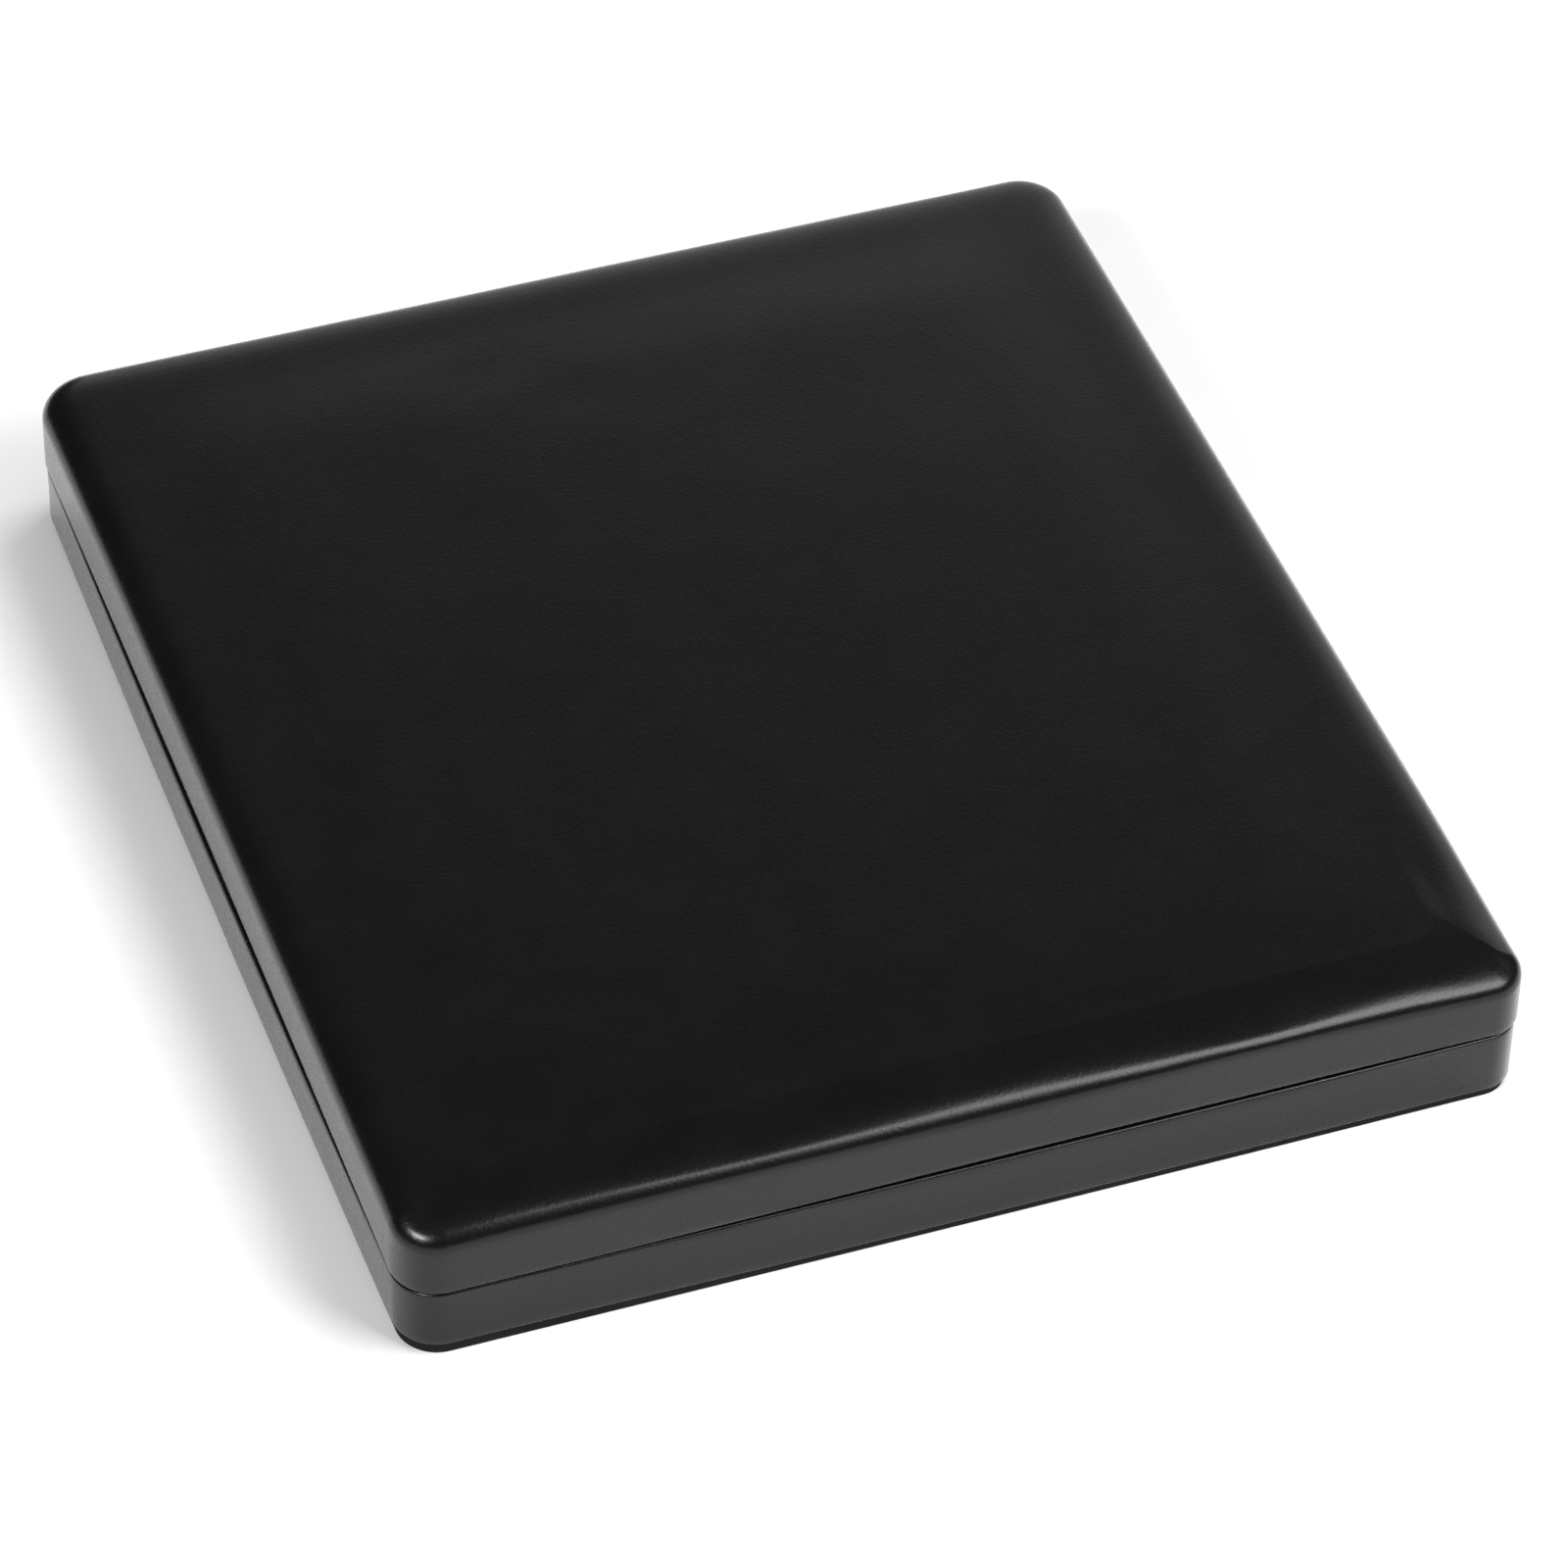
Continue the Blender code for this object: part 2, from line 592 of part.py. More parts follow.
def make_rivet(name, x, z, skin, head_near, finishes, parent):
    """A rivet through the wall: its flat tail under the leatherette, its head on the inner side."""
    tail = -(skin + RIVET_CLEARANCE)
    tail_end = tail - RIVET_TAIL_HEIGHT
    head = -(head_near + RIVET_CLEARANCE)
    rounding = RIVET_HEAD_HEIGHT / 2
    profile = (
        (RIVET_HEAD_RADIUS - rounding, head - RIVET_HEAD_HEIGHT),
        (RIVET_HEAD_RADIUS, head - rounding),
        (RIVET_HEAD_RADIUS, head),
        (RIVET_RADIUS, head),
        (RIVET_RADIUS, tail_end),
        (RIVET_TAIL_RADIUS, tail_end),
        (RIVET_TAIL_RADIUS, tail),
    )
    mesh = turned_mesh(name, profile, RIVET_SIDES, "Y", (x, BOX_DEPTH / 2, z))
    add_object(name, mesh, finishes["steel"], parent)


def leaf_mesh(name, x, side):
    """The flat of a leaf, clear of the other leaf's knuckles. Side is up or down from the axis."""
    start = AXIS_Z + side * (KNUCKLE_RADIUS + KNUCKLE_GAP)
    ends = sorted((start, LID_LEAF_END if side > 0 else BASE_LEAF_END))
    low = (x - HINGE_WIDTH / 2, BOX_DEPTH / 2 - LEAF_FAR, ends[0])
    high = (x + HINGE_WIDTH / 2, BOX_DEPTH / 2 - LEAF_NEAR, ends[1])
    return box_mesh(name, low, high)


def leaf_neck_mesh(name, x_from, x_to, side):
    """The part of a leaf that curls round into one knuckle."""
    ends = sorted((AXIS_Z, AXIS_Z + side * (KNUCKLE_RADIUS + KNUCKLE_GAP + LEAF_THICKNESS)))
    low = (x_from, BOX_DEPTH / 2 - LEAF_FAR, ends[0])
    high = (x_to, BOX_DEPTH / 2 - LEAF_NEAR, ends[1])
    return box_mesh(name, low, high)


def make_leaf(name, x, side, knuckles, finishes, parent):
    leaf = add_object(name, leaf_mesh(name, x, side), finishes["steel"], parent)
    for number, (x_from, x_to) in enumerate(knuckles):
        neck = helper(f"{name}_neck_{number}", leaf_neck_mesh("neck", x_from, x_to, side))
        curl = helper(f"{name}_curl_{number}", knuckle_mesh(x_from, x_to))
        combine(leaf, neck, "UNION")
        combine(leaf, curl, "UNION")
    combine(leaf, bore_cutter(f"{name}_bore_cutter", x), "DIFFERENCE")
    return leaf


def make_spring(name, x, finishes):
    """Flat snap spring under the base leaf's rivets. Its tongue stands against the lid's knuckle."""
    near = BOX_DEPTH / 2 - LEAF_FAR - RIVET_CLEARANCE
    far = near - SPRING_THICKNESS
    foot_top = BASE_RIVET_HEIGHT + RIVET_HEAD_RADIUS
    foot_bottom = BASE_LEAF_END
    tongue_top = AXIS_Z + SPRING_TIP_RISE
    half_foot = SPRING_FOOT_WIDTH / 2
    half_tongue = SPRING_TONGUE_WIDTH / 2
    foot = box_mesh(name, (x - half_foot, far, foot_bottom), (x + half_foot, near, foot_top))
    spring = add_object(name, foot, finishes["steel"])
    rings = []
    for z, bend in ((foot_top - OVERRUN, 0.0), (AXIS_Z, 0.0), (tongue_top, SPRING_TIP_BEND)):
        front, back = far - bend, near - bend
        left, right = x - half_tongue, x + half_tongue
        rings.append([(left, front, z), (right, front, z), (right, back, z), (left, back, z)])
    tongue = helper(f"{name}_tongue", mesh_from_rings("tongue", rings, looped=False))
    combine(spring, tongue, "UNION")
    return spring


def make_pin(name, x, finishes):
    length = HINGE_WIDTH + 2 * PIN_END_STANDOUT
    rounding = PIN_RADIUS / 3
    profile = (
        (PIN_RADIUS - rounding, 0.0),
        (PIN_RADIUS, rounding),
        (PIN_RADIUS, length - rounding),
        (PIN_RADIUS - rounding, length),
    )
    centre = (x - length / 2, AXIS_Y, AXIS_Z)
    add_object(name, turned_mesh(name, profile, BARREL_SIDES, "X", centre), finishes["steel"])


def make_hinge(side_name, x, finishes, lid):
    """Both leaves, the pin, the snap spring and four rivets of one hinge."""
    half = HINGE_WIDTH / 2
    base_knuckles = (
        (x - half, x - half + BASE_KNUCKLE_WIDTH),
        (x + half - BASE_KNUCKLE_WIDTH, x + half),
    )
    lid_knuckles = ((x - LID_KNUCKLE_WIDTH / 2, x + LID_KNUCKLE_WIDTH / 2),)
    name = f"{side_name}_hinge"
    base_holes = rivet_hole_cutter(f"{name}_base_hole_cutter", x, BASE_RIVET_HEIGHT)
    lid_holes = rivet_hole_cutter(f"{name}_lid_hole_cutter", x, LID_RIVET_HEIGHT)
    base_leaf = make_leaf(f"{name}_base_leaf", x, -1, base_knuckles, finishes, None)
    lid_leaf = make_leaf(f"{name}_lid_leaf", x, 1, lid_knuckles, finishes, lid)
    spring = make_spring(f"{name}_snap_spring", x, finishes)
    combine(base_leaf, base_holes, "DIFFERENCE")
    combine(spring, base_holes, "DIFFERENCE")
    combine(lid_leaf, lid_holes, "DIFFERENCE")
    combine(bpy.data.objects["base_shell"], base_holes, "DIFFERENCE")
    combine(bpy.data.objects["lid_shell"], lid_holes, "DIFFERENCE")
    base_bores = counterbore_cutter(f"{name}_base_bore_cutter", x, BASE_RIVET_HEIGHT, BASE_SHELL_SKIN)
    lid_bores = counterbore_cutter(f"{name}_lid_bore_cutter", x, LID_RIVET_HEIGHT, LID_SHELL_SKIN)
    combine(bpy.data.objects["base_shell"], base_bores, "DIFFERENCE")
    combine(bpy.data.objects["lid_shell"], lid_bores, "DIFFERENCE")
    make_pin(f"{name}_pin", x, finishes)
    spring_face = LEAF_FAR + RIVET_CLEARANCE + SPRING_THICKNESS
    for rivet_side, along in RIVET_PLACES:
        make_rivet(
            f"{name}_base_rivet_{rivet_side}",
            x + along,
            BASE_RIVET_HEIGHT,
            BASE_SHELL_SKIN,
            spring_face,
            finishes,
            None,
        )
        make_rivet(
            f"{name}_lid_rivet_{rivet_side}",
            x + along,
            LID_RIVET_HEIGHT,
            LID_SHELL_SKIN,
            LEAF_FAR,
            finishes,
            lid,
        )


def cut_hinge_room():
    """Room for the barrels in the back rims, and for the leaves in the turned-in leatherette."""
    radius = KNUCKLE_RADIUS + BARREL_CLEARANCE
    half = HINGE_WIDTH / 2 + BARREL_CLEARANCE
    barrels = []
    slots = []
    for _, x in HINGE_PLACES:
        profile = ((radius, 0.0), (radius, 2 * half))
        barrels.append(
            turned_mesh("barrel", profile, BARREL_SIDES, "X", (x - half, AXIS_Y, AXIS_Z))
        )
        low = (x - half, BOX_DEPTH / 2 - TURN_IN_FAR - OVERRUN, BASE_RIM - TURN_IN - OVERRUN)
        high = (x + half, BOX_DEPTH / 2 - INNER_FACE - GLUE_GAP / 2, LID_RIM + TURN_IN + OVERRUN)
        slots.append(box_mesh("slot", low, high))
    barrel_cutter = helper("barrel_cutter", merged_mesh("barrel_cutter", barrels))
    slot_cutter = helper("leaf_slot_cutter", merged_mesh("leaf_slot_cutter", slots))
    for name in ("base_shell", "base_cover", "lid_shell", "lid_cover"):
        combine(bpy.data.objects[name], barrel_cutter, "DIFFERENCE")
    for name in ("base_cover", "lid_cover"):
        combine(bpy.data.objects[name], slot_cutter, "DIFFERENCE")


def main():
    clear_scene()
    finishes = make_finishes()
    lid = bpy.data.objects.new("lid_axis", None)
    lid.location = (0.0, AXIS_Y, AXIS_Z)
    bpy.context.scene.collection.objects.link(lid)
    bpy.context.view_layer.update()
    make_underside(finishes)
    make_base_cover(finishes)
    make_base_shell(finishes)
    make_tray_board(finishes)
    make_tray_frame(finishes)
    make_lid_shell(finishes, lid)
    make_lid_foam(finishes, lid)
    make_lid_cover(finishes, lid)
    make_lining(finishes, lid)
    for side_name, x in HINGE_PLACES:
        make_hinge(side_name, x, finishes, lid)
    cut_hinge_room()


main()
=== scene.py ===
"""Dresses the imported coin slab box: leatherette skins, velour tray, satin lining and sprung hinges.

Metres, +Z up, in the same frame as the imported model. The front faces -Y and the hinges lie at +Y.
"""

import itertools
import json
import math

import bmesh
import bpy
from mathutils import Matrix, Vector, noise


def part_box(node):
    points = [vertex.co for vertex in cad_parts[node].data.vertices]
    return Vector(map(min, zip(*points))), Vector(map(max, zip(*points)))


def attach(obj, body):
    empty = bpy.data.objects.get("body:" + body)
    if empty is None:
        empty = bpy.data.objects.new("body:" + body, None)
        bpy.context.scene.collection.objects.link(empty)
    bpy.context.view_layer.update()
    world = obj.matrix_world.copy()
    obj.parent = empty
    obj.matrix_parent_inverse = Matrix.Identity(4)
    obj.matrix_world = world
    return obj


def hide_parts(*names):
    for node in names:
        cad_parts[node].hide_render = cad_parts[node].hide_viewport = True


bl_info = {
    "name": "Coin slab box",
    "version": (1, 0, 0),
    "blender": (4, 5, 0),
    "location": "3D View > Sidebar > Coin Box",
    "description": "Dresses a hinged leatherette box for coin slabs and sets it on a lit floor",
    "category": "Object",
}

MM = 0.001
TAU = 2 * math.pi

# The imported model, and the sizes that the dressed pieces take from it

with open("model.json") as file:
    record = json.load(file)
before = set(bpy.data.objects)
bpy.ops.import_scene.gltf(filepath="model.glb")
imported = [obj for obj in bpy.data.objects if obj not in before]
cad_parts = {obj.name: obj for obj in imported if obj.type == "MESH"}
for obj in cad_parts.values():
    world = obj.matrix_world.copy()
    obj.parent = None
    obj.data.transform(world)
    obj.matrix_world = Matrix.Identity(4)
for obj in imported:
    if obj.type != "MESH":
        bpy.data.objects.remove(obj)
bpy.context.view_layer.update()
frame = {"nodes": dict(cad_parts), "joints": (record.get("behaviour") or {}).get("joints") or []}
BASE_LOW, BASE_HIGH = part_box("base_cover")
LID_LOW, LID_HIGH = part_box("lid_cover")
LINING_LOW, LINING_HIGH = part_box("lining_satin")
WADDING_LOW, WADDING_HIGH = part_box("lining_wadding")
FOAM_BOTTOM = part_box("lid_foam")[0].z
HALF_X = (LID_HIGH.x - LID_LOW.x) / 2
HALF_Y = (LID_HIGH.y - LID_LOW.y) / 2
BASE_INSET = BASE_LOW.x - LID_LOW.x
HALF_SEAM = (LID_LOW.z - BASE_HIGH.z) / 2
HINGE = frame["joints"][0]
AXIS_Y, AXIS_Z = HINGE["pos_m"][1:]
BEVEL = math.radians(HINGE["range_deg"][1] / 2)

# The front's shoulder: where, its radius, the degrees that it turns through and how much lower it begins
FRONT_SHOULDER = (
    (-90.0 * MM, 3.5 * MM, 60, 1.0 * MM),
    (-71.0 * MM, 3.6 * MM, 58, 0.6 * MM),
    (-33.0 * MM, 3.0 * MM, 66, 0.5 * MM),
    (5.0 * MM, 3.6 * MM, 55, 1.0 * MM),
    (30.0 * MM, 3.0 * MM, 64, 0.6 * MM),
    (43.0 * MM, 2.5 * MM, 70, 0.35 * MM),
    (54.0 * MM, 2.9 * MM, 64, 0.55 * MM),
    (68.0 * MM, 3.4 * MM, 58, 1.1 * MM),
    (82.0 * MM, 3.1 * MM, 60, 1.5 * MM),
    (90.0 * MM, 3.1 * MM, 60, 1.5 * MM),
)

# The front's shoulder goes on round the right front corner: its share there, where it ends, over what length
SIDE_SHARE = 0.6
SIDE_SHARE_FROM = -62 * MM
SIDE_SHARE_OVER = 36 * MM

# Soft dents in the lid's skin: where, how far they reach along X and Y, and how deep
LID_DENTS = (
    (-18.0 * MM, 79.0 * MM, 9.0 * MM, 3.5 * MM, 0.10 * MM),
    (-7.0 * MM, 71.0 * MM, 8.0 * MM, 4.0 * MM, 0.10 * MM),
    (-41.0 * MM, 42.0 * MM, 14.0 * MM, 9.0 * MM, 0.08 * MM),
    (20.0 * MM, -20.0 * MM, 26.0 * MM, 18.0 * MM, 0.06 * MM),
    (46.0 * MM, -101.0 * MM, 2.6 * MM, 3.5 * MM, 0.16 * MM),
    (54.5 * MM, -100.5 * MM, 2.4 * MM, 3.5 * MM, 0.18 * MM),
    (30.0 * MM, -101.5 * MM, 3.4 * MM, 3.5 * MM, 0.10 * MM),
    (-66.0 * MM, -100.0 * MM, 6.0 * MM, 4.0 * MM, 0.08 * MM),
)

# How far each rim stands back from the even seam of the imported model
SEAM_CORNERS = -0.02 * MM
SEAM_LEFT = 0.27 * MM
SEAM_RIGHT = 0.08 * MM
SEAM_BACK = 0.07 * MM
SEAM_FRONT_LEFT = 0.08 * MM
SEAM_FRONT_WIDENING = 0.24 * MM
SEAM_WIDENS_FROM = -70 * MM
SEAM_WIDENS_OVER = 80 * MM


# What a user sets, and a function for each kind of property


def length(name, description, default):
    return bpy.props.FloatProperty(name=name, description=description, default=default, unit="LENGTH")


def four_lengths(name, description, *default):
    return bpy.props.FloatVectorProperty(
        name=name, description=description, default=default, unit="LENGTH", size=4
    )


def angle(name, description, degrees):
    return bpy.props.FloatProperty(
        name=name, description=description, default=math.radians(degrees), subtype="ANGLE"
    )


def factor(name, description, default):
    return bpy.props.FloatProperty(name=name, description=description, default=default, subtype="FACTOR")


def colour(name, description, *default):
    return bpy.props.FloatVectorProperty(
        name=name, description=description, default=default, subtype="COLOR", size=3
    )


def watts(name, description, default):
    return bpy.props.FloatProperty(name=name, description=description, default=default, subtype="POWER")


class CoinBoxShape(bpy.types.PropertyGroup):
    """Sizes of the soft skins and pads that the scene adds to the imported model."""

    corner_radii: four_lengths(
        "Corner radii",
        "Radii of the upright corners: right front, right back, left back and left front",
        5.8 * MM,
        8.1 * MM,
        9.0 * MM,
        7.3 * MM,
    )
    lid_bow: four_lengths(
        "Lid bow",
        "How far the lid's right, back, left and front swell in their middle",
        0.08 * MM,
        0.12 * MM,
        -0.14 * MM,
        0.05 * MM,
    )
    base_bow: four_lengths(
        "Base bow",
        "How far the lower half's right, back, left and front swell in their middle",
        0.28 * MM,
        0.21 * MM,
        0.70 * MM,
        0.21 * MM,
    )
    skin: length("Skin", "Thickness of the leatherette with its backing", 0.7 * MM)
    glue_gap: length("Glue gap", "Room left between a skin and what it is glued to", 0.3 * MM)
    shoulder_width: length(
        "Shoulder width", "How far the padded shoulder reaches in over the lid", 9.0 * MM
    )
    shoulder_radius: length(
        "Shoulder radius", "Radius of the shoulder where it leaves the wall", 3.5 * MM
    )
    shoulder_turn: angle(
        "Shoulder turn", "Angle that the shoulder turns through before it flattens out", 58
    )
    lid_wall_height: length(
        "Lid wall height", "From the hinge's axis up to where the shoulder begins", 9.5 * MM
    )
    crown_rise: length(
        "Crown rise", "How far the lid's middle stands over the end of its shoulder", 0.3 * MM
    )
    rim_radius: length("Rim radius", "Rounding where the skin turns over a rim", 0.42 * MM)
    slack_rim_radius: length(
        "Slack rim radius",
        "The same in the middle of the lower half's left side, where the skin is slackest",
        1.0 * MM,
    )
    bottom_radius: length("Bottom radius", "Rounding of the walls' lower edge", 0.35 * MM)
    plinth_height: length(
        "Plinth height", "Height of the recessed foot under the walls, where it shows most", 2.3 * MM
    )
    plinth_inset: length("Plinth inset", "How far the leatherette steps in under the walls", 0.72 * MM)
    turn_in: length("Turn in", "How far the skin reaches along the inner face of a rim", 4.0 * MM)
    backing_inset: length(
        "Backing inset",
        "From the lower half's outside to the turned-up edge of the backing paper",
        0.58 * MM,
    )
    turn_under: length("Turn under", "How far the lower skin reaches in under the floor", 9.0 * MM)
    inner_face: length(
        "Inner face", "From the lid's outside to the near side of the turned-in skin", 3.05 * MM
    )
    velour_voxel: length("Velour voxel", "Fineness of the velour tray's rounded edges", 0.75 * MM)
    satin_fullness: factor(
        "Satin fullness",
        "How much more satin than board there is, which lets it gather at the edge",
        0.012,
    )


class CoinBoxFinish(bpy.types.PropertyGroup):
    """Colours and grain of the finishes."""

    leatherette_colour: colour("Leatherette", "Colour of the leatherette", 0.0038, 0.0035, 0.0037)
    leatherette_roughness: factor("Leatherette roughness", "How matt the leatherette is", 0.265)
    grain_pitch: length(
        "Grain pitch", "Distance between the pebbles of the leatherette's grain", 0.56 * MM
    )
    velour_colour: colour("Velour", "Colour of the velour in the tray", 0.010, 0.010, 0.0115)
    satin_colour: colour("Satin", "Colour of the satin in the lid", 0.018, 0.018, 0.020)
    nickel_colour: colour("Nickel", "Colour of the plated hinges", 0.56, 0.545, 0.52)
    floor_colour: colour("Floor", "Colour of the floor", 0.78, 0.78, 0.78)


class CoinBoxStage(bpy.types.PropertyGroup):
    """Where the camera stands, as the photograph was solved, and how strong the lamps are."""

    azimuth: angle("Azimuth", "Turn of the camera from the front towards the right", -20.244)
    elevation: angle("Elevation", "Height of the camera over the horizon", 43.053)
    roll: angle("Roll", "Turn of the camera about its own line of sight", 1.167)
    distance: length("Distance", "From the camera to the point that it looks at", 1.14953)
    aim: bpy.props.FloatVectorProperty(
        name="Aim",
        description="The point that the camera looks at",
        default=(0.215 * MM, -15.715 * MM, 13.472 * MM),
        subtype="XYZ",
        unit="LENGTH",
        size=3,
    )
    lens: bpy.props.FloatProperty(
        name="Lens",
        description="Focal length in millimetres, for a sensor 36 mm wide",
        default=167.06,
        unit="CAMERA",
    )
    key_power: watts("Key power", "Power of the softbox high on the right", 7.5)
    front_power: watts("Front power", "Power of the softbox in front on the right", 6.4)
    left_power: watts("Left power", "Power of the softbox in front on the left", 12.5)
    fill_power: watts("Fill power", "Power of the broad softbox overhead", 5.0)
    back_power: watts("Back power", "Power of the broad panel behind on the right", 4.8)


# Shader maths


class Wire:
    """One output of a material's nodes. A sign between two of them adds the Math node that works it out."""

    def __init__(self, recipe, socket):
        self.recipe = recipe
        self.socket = socket

    def __add__(self, other):
        return self.recipe.math("ADD", self, other)

    def __radd__(self, other):
        return self.recipe.math("ADD", self, other)

    def __sub__(self, other):
        return self.recipe.math("SUBTRACT", self, other)

    def __rsub__(self, other):
        return self.recipe.math("SUBTRACT", other, self)

    def __mul__(self, other):
        return self.recipe.math("MULTIPLY", self, other)

    def __rmul__(self, other):
        return self.recipe.math("MULTIPLY", self, other)

    def __abs__(self):
        return self.recipe.math("ABSOLUTE", self)

    def wave(self):
        return self.recipe.math("SINE", self)

    def between(self, low, high):
        """0 below low, 1 above high, and smooth from one to the other."""
        settings = {"interpolation_type": "SMOOTHSTEP"}
        values = {"Value": self, "From Min": low, "From Max": high}
        return self.recipe.node("ShaderNodeMapRange", settings, values)


class Recipe:
    """A material's node tree round its Principled shader. Keywords set that shader's own sockets."""

    def __init__(self, name, **constants):
        self.material = bpy.data.materials.new(name)
        self.material.use_nodes = True
        self.tree = self.material.node_tree
        self.shader = self.tree.nodes["Principled BSDF"]
        self.set(**constants)

    def node(self, kind, settings=None, values=None, output=0):
        """Adds a node of this type, with its settings first, and gives back one of its outputs."""
        made = self.tree.nodes.new(kind)
        for name, setting in (settings or {}).items():
            setattr(made, name, setting)
        for socket, value in (values or {}).items():
            self.feed(made.inputs[socket], value)
        return Wire(self, made.outputs[output])

    def feed(self, socket, value):
        """Links a wire to the socket or sets a value on it. A colour of three channels gets its fourth."""
        if isinstance(value, Wire):
            self.tree.links.new(value.socket, socket)
        elif isinstance(value, tuple) and len(socket.default_value) > len(value):
            socket.default_value = (*value, 1.0)
        else:
            socket.default_value = value

    def set(self, **sockets):
        for socket, value in sockets.items():
            self.feed(self.shader.inputs[socket.replace("_", " ")], value)

    def math(self, operation, *values):
        return self.node("ShaderNodeMath", {"operation": operation}, dict(enumerate(values)))

    def vector(self, operation, *values):
        return self.node("ShaderNodeVectorMath", {"operation": operation}, dict(enumerate(values)))

    def place(self):
        """Where a point lies in the box's frame, in metres."""
        return self.node("ShaderNodeTexCoord", output="Object")

    def along(self, place, axis):
        return self.node("ShaderNodeSeparateXYZ", None, {0: place}, output=axis)

    def stretch(self, place, x, y, z):
        """The same place scaled along each axis: a factor under 1 draws a pattern out along its axis."""
        return self.vector("MULTIPLY", place, (x, y, z))

    def noise(self, place, pitch, detail=2.0, roughness=0.5, output="Fac"):
        values = {"Vector": place, "Scale": 1 / pitch, "Detail": detail, "Roughness": roughness}
        return self.node("ShaderNodeTexNoise", {"noise_dimensions": "3D"}, values, output)

    def cells(self, place, pitch, feature="F1", **more):
        values = {"Vector": place, "Scale": 1 / pitch}
        values.update({name.capitalize(): value for name, value in more.items()})
        return self.node("ShaderNodeTexVoronoi", {"feature": feature}, values, "Distance")

    def mix(self, share, first, second):
        """The first colour at 0 and the second at 1."""
        values = {0: share, 6: first, 7: second}
        return self.node("ShaderNodeMix", {"data_type": "RGBA"}, values, output=2)

    def bend(self, place, pitch, reach):
        """The same place, pushed about by noise, so that a pattern loses its straight lines."""
        push = self.noise(place, pitch, output="Color")
        push = self.vector("SUBTRACT", push, (0.5, 0.5, 0.5))
        return self.vector("ADD", place, self.vector("MULTIPLY", push, (reach, reach, reach)))

    def threads(self, place, axis, pitch):
        """How far round their waves the threads that repeat along an axis are here."""
        return self.along(place, axis) * (TAU / pitch)

    def bump(self, height, depth):
        self.set(Normal=self.node("ShaderNodeBump", None, {"Distance": depth, "Height": height}))


def shade(channels, gain):
    return tuple(min(channel * gain, 1.0) for channel in channels)


# Finishes


def leatherette_finish(finish):
    """Fine leatherette: pebbles, creases and pores, with painted highlight flecks here and there along the
    lower half's rim.
    """
    recipe = Recipe(
        "black_leatherette",
        IOR=1.25,
        Specular_IOR_Level=0.5,
        Coat_Weight=1.0,
        Coat_IOR=1.25,
        Coat_Roughness=0.235,
    )
    pitch = finish.grain_pitch
    place = recipe.place()
    bent = recipe.bend(place, pitch=3.1 * pitch, reach=0.55 * pitch)
    pebbles = recipe.cells(bent, pitch, "SMOOTH_F1", smoothness=0.5)
    creases = recipe.cells(bent, 1.9 * pitch, "DISTANCE_TO_EDGE").between(0.0, 0.16)
    pores = recipe.noise(place, 0.30 * pitch)
    swells = recipe.noise(place, 11 * pitch)
    recipe.bump(0.55 * (1 - pebbles) + 0.30 * creases + 0.22 * pores + 0.6 * swells, depth=0.026 * MM)
    mottle = recipe.noise(place, 14 * MM, detail=3.0, roughness=0.6).between(0.3, 0.75)
    dark = tuple(finish.leatherette_colour)
    tone = recipe.mix(mottle, shade(dark, 0.88), shade(dark, 1.14))
    # Painted highlight: light grey flecks along the lower half's rim stand in for glints of the lamps on its
    # rounded edge.
    rim_height, rim_width = BASE_HIGH.z - 0.55 * MM, 0.45 * MM
    rim = 1 - abs(recipe.along(place, "Z") - rim_height).between(0.0, rim_width)
    highlight_flecks = recipe.noise(recipe.stretch(place, 1.0, 1.0, 2.2), 0.9 * MM, detail=1.0).between(0.69, 0.76)
    patches = recipe.noise(place, 26 * MM, detail=1.0).between(0.46, 0.62)
    painted_rim_highlight = rim * highlight_flecks * patches
    highlight_grey = (0.16, 0.155, 0.145)
    tone = recipe.mix(0.7 * painted_rim_highlight, tone, highlight_grey)
    gloss = recipe.noise(place, 6 * MM)
    rough = finish.leatherette_roughness + 0.07 * (gloss - 0.5) + 0.05 * (1 - creases)
    recipe.set(Base_Color=tone, Roughness=rough)
    return recipe.material


def paper_finish():
    """Black backing paper, pressed with a fine linen pattern."""
    recipe = Recipe("black_backing_paper", Specular_IOR_Level=0.12)
    place = recipe.place()
    bent = recipe.bend(place, pitch=4 * MM, reach=0.12 * MM)
    across = recipe.threads(bent, "X", 0.7 * MM).wave()
    along = recipe.threads(bent, "Y", 0.9 * MM).wave()
    fibres = recipe.noise(recipe.stretch(place, 1.0, 0.3, 1.0), 0.35 * MM, detail=3.0)
    recipe.bump(0.25 * across + 0.25 * along + 0.5 * fibres, depth=0.05 * MM)
    stain = recipe.noise(place, 22 * MM, detail=3.0).between(0.35, 0.7)
    tone = recipe.mix(stain, (0.006, 0.006, 0.006), (0.010, 0.0098, 0.0095))
    recipe.set(Base_Color=tone, Roughness=0.72 + 0.2 * (fibres - 0.5))
    return recipe.material


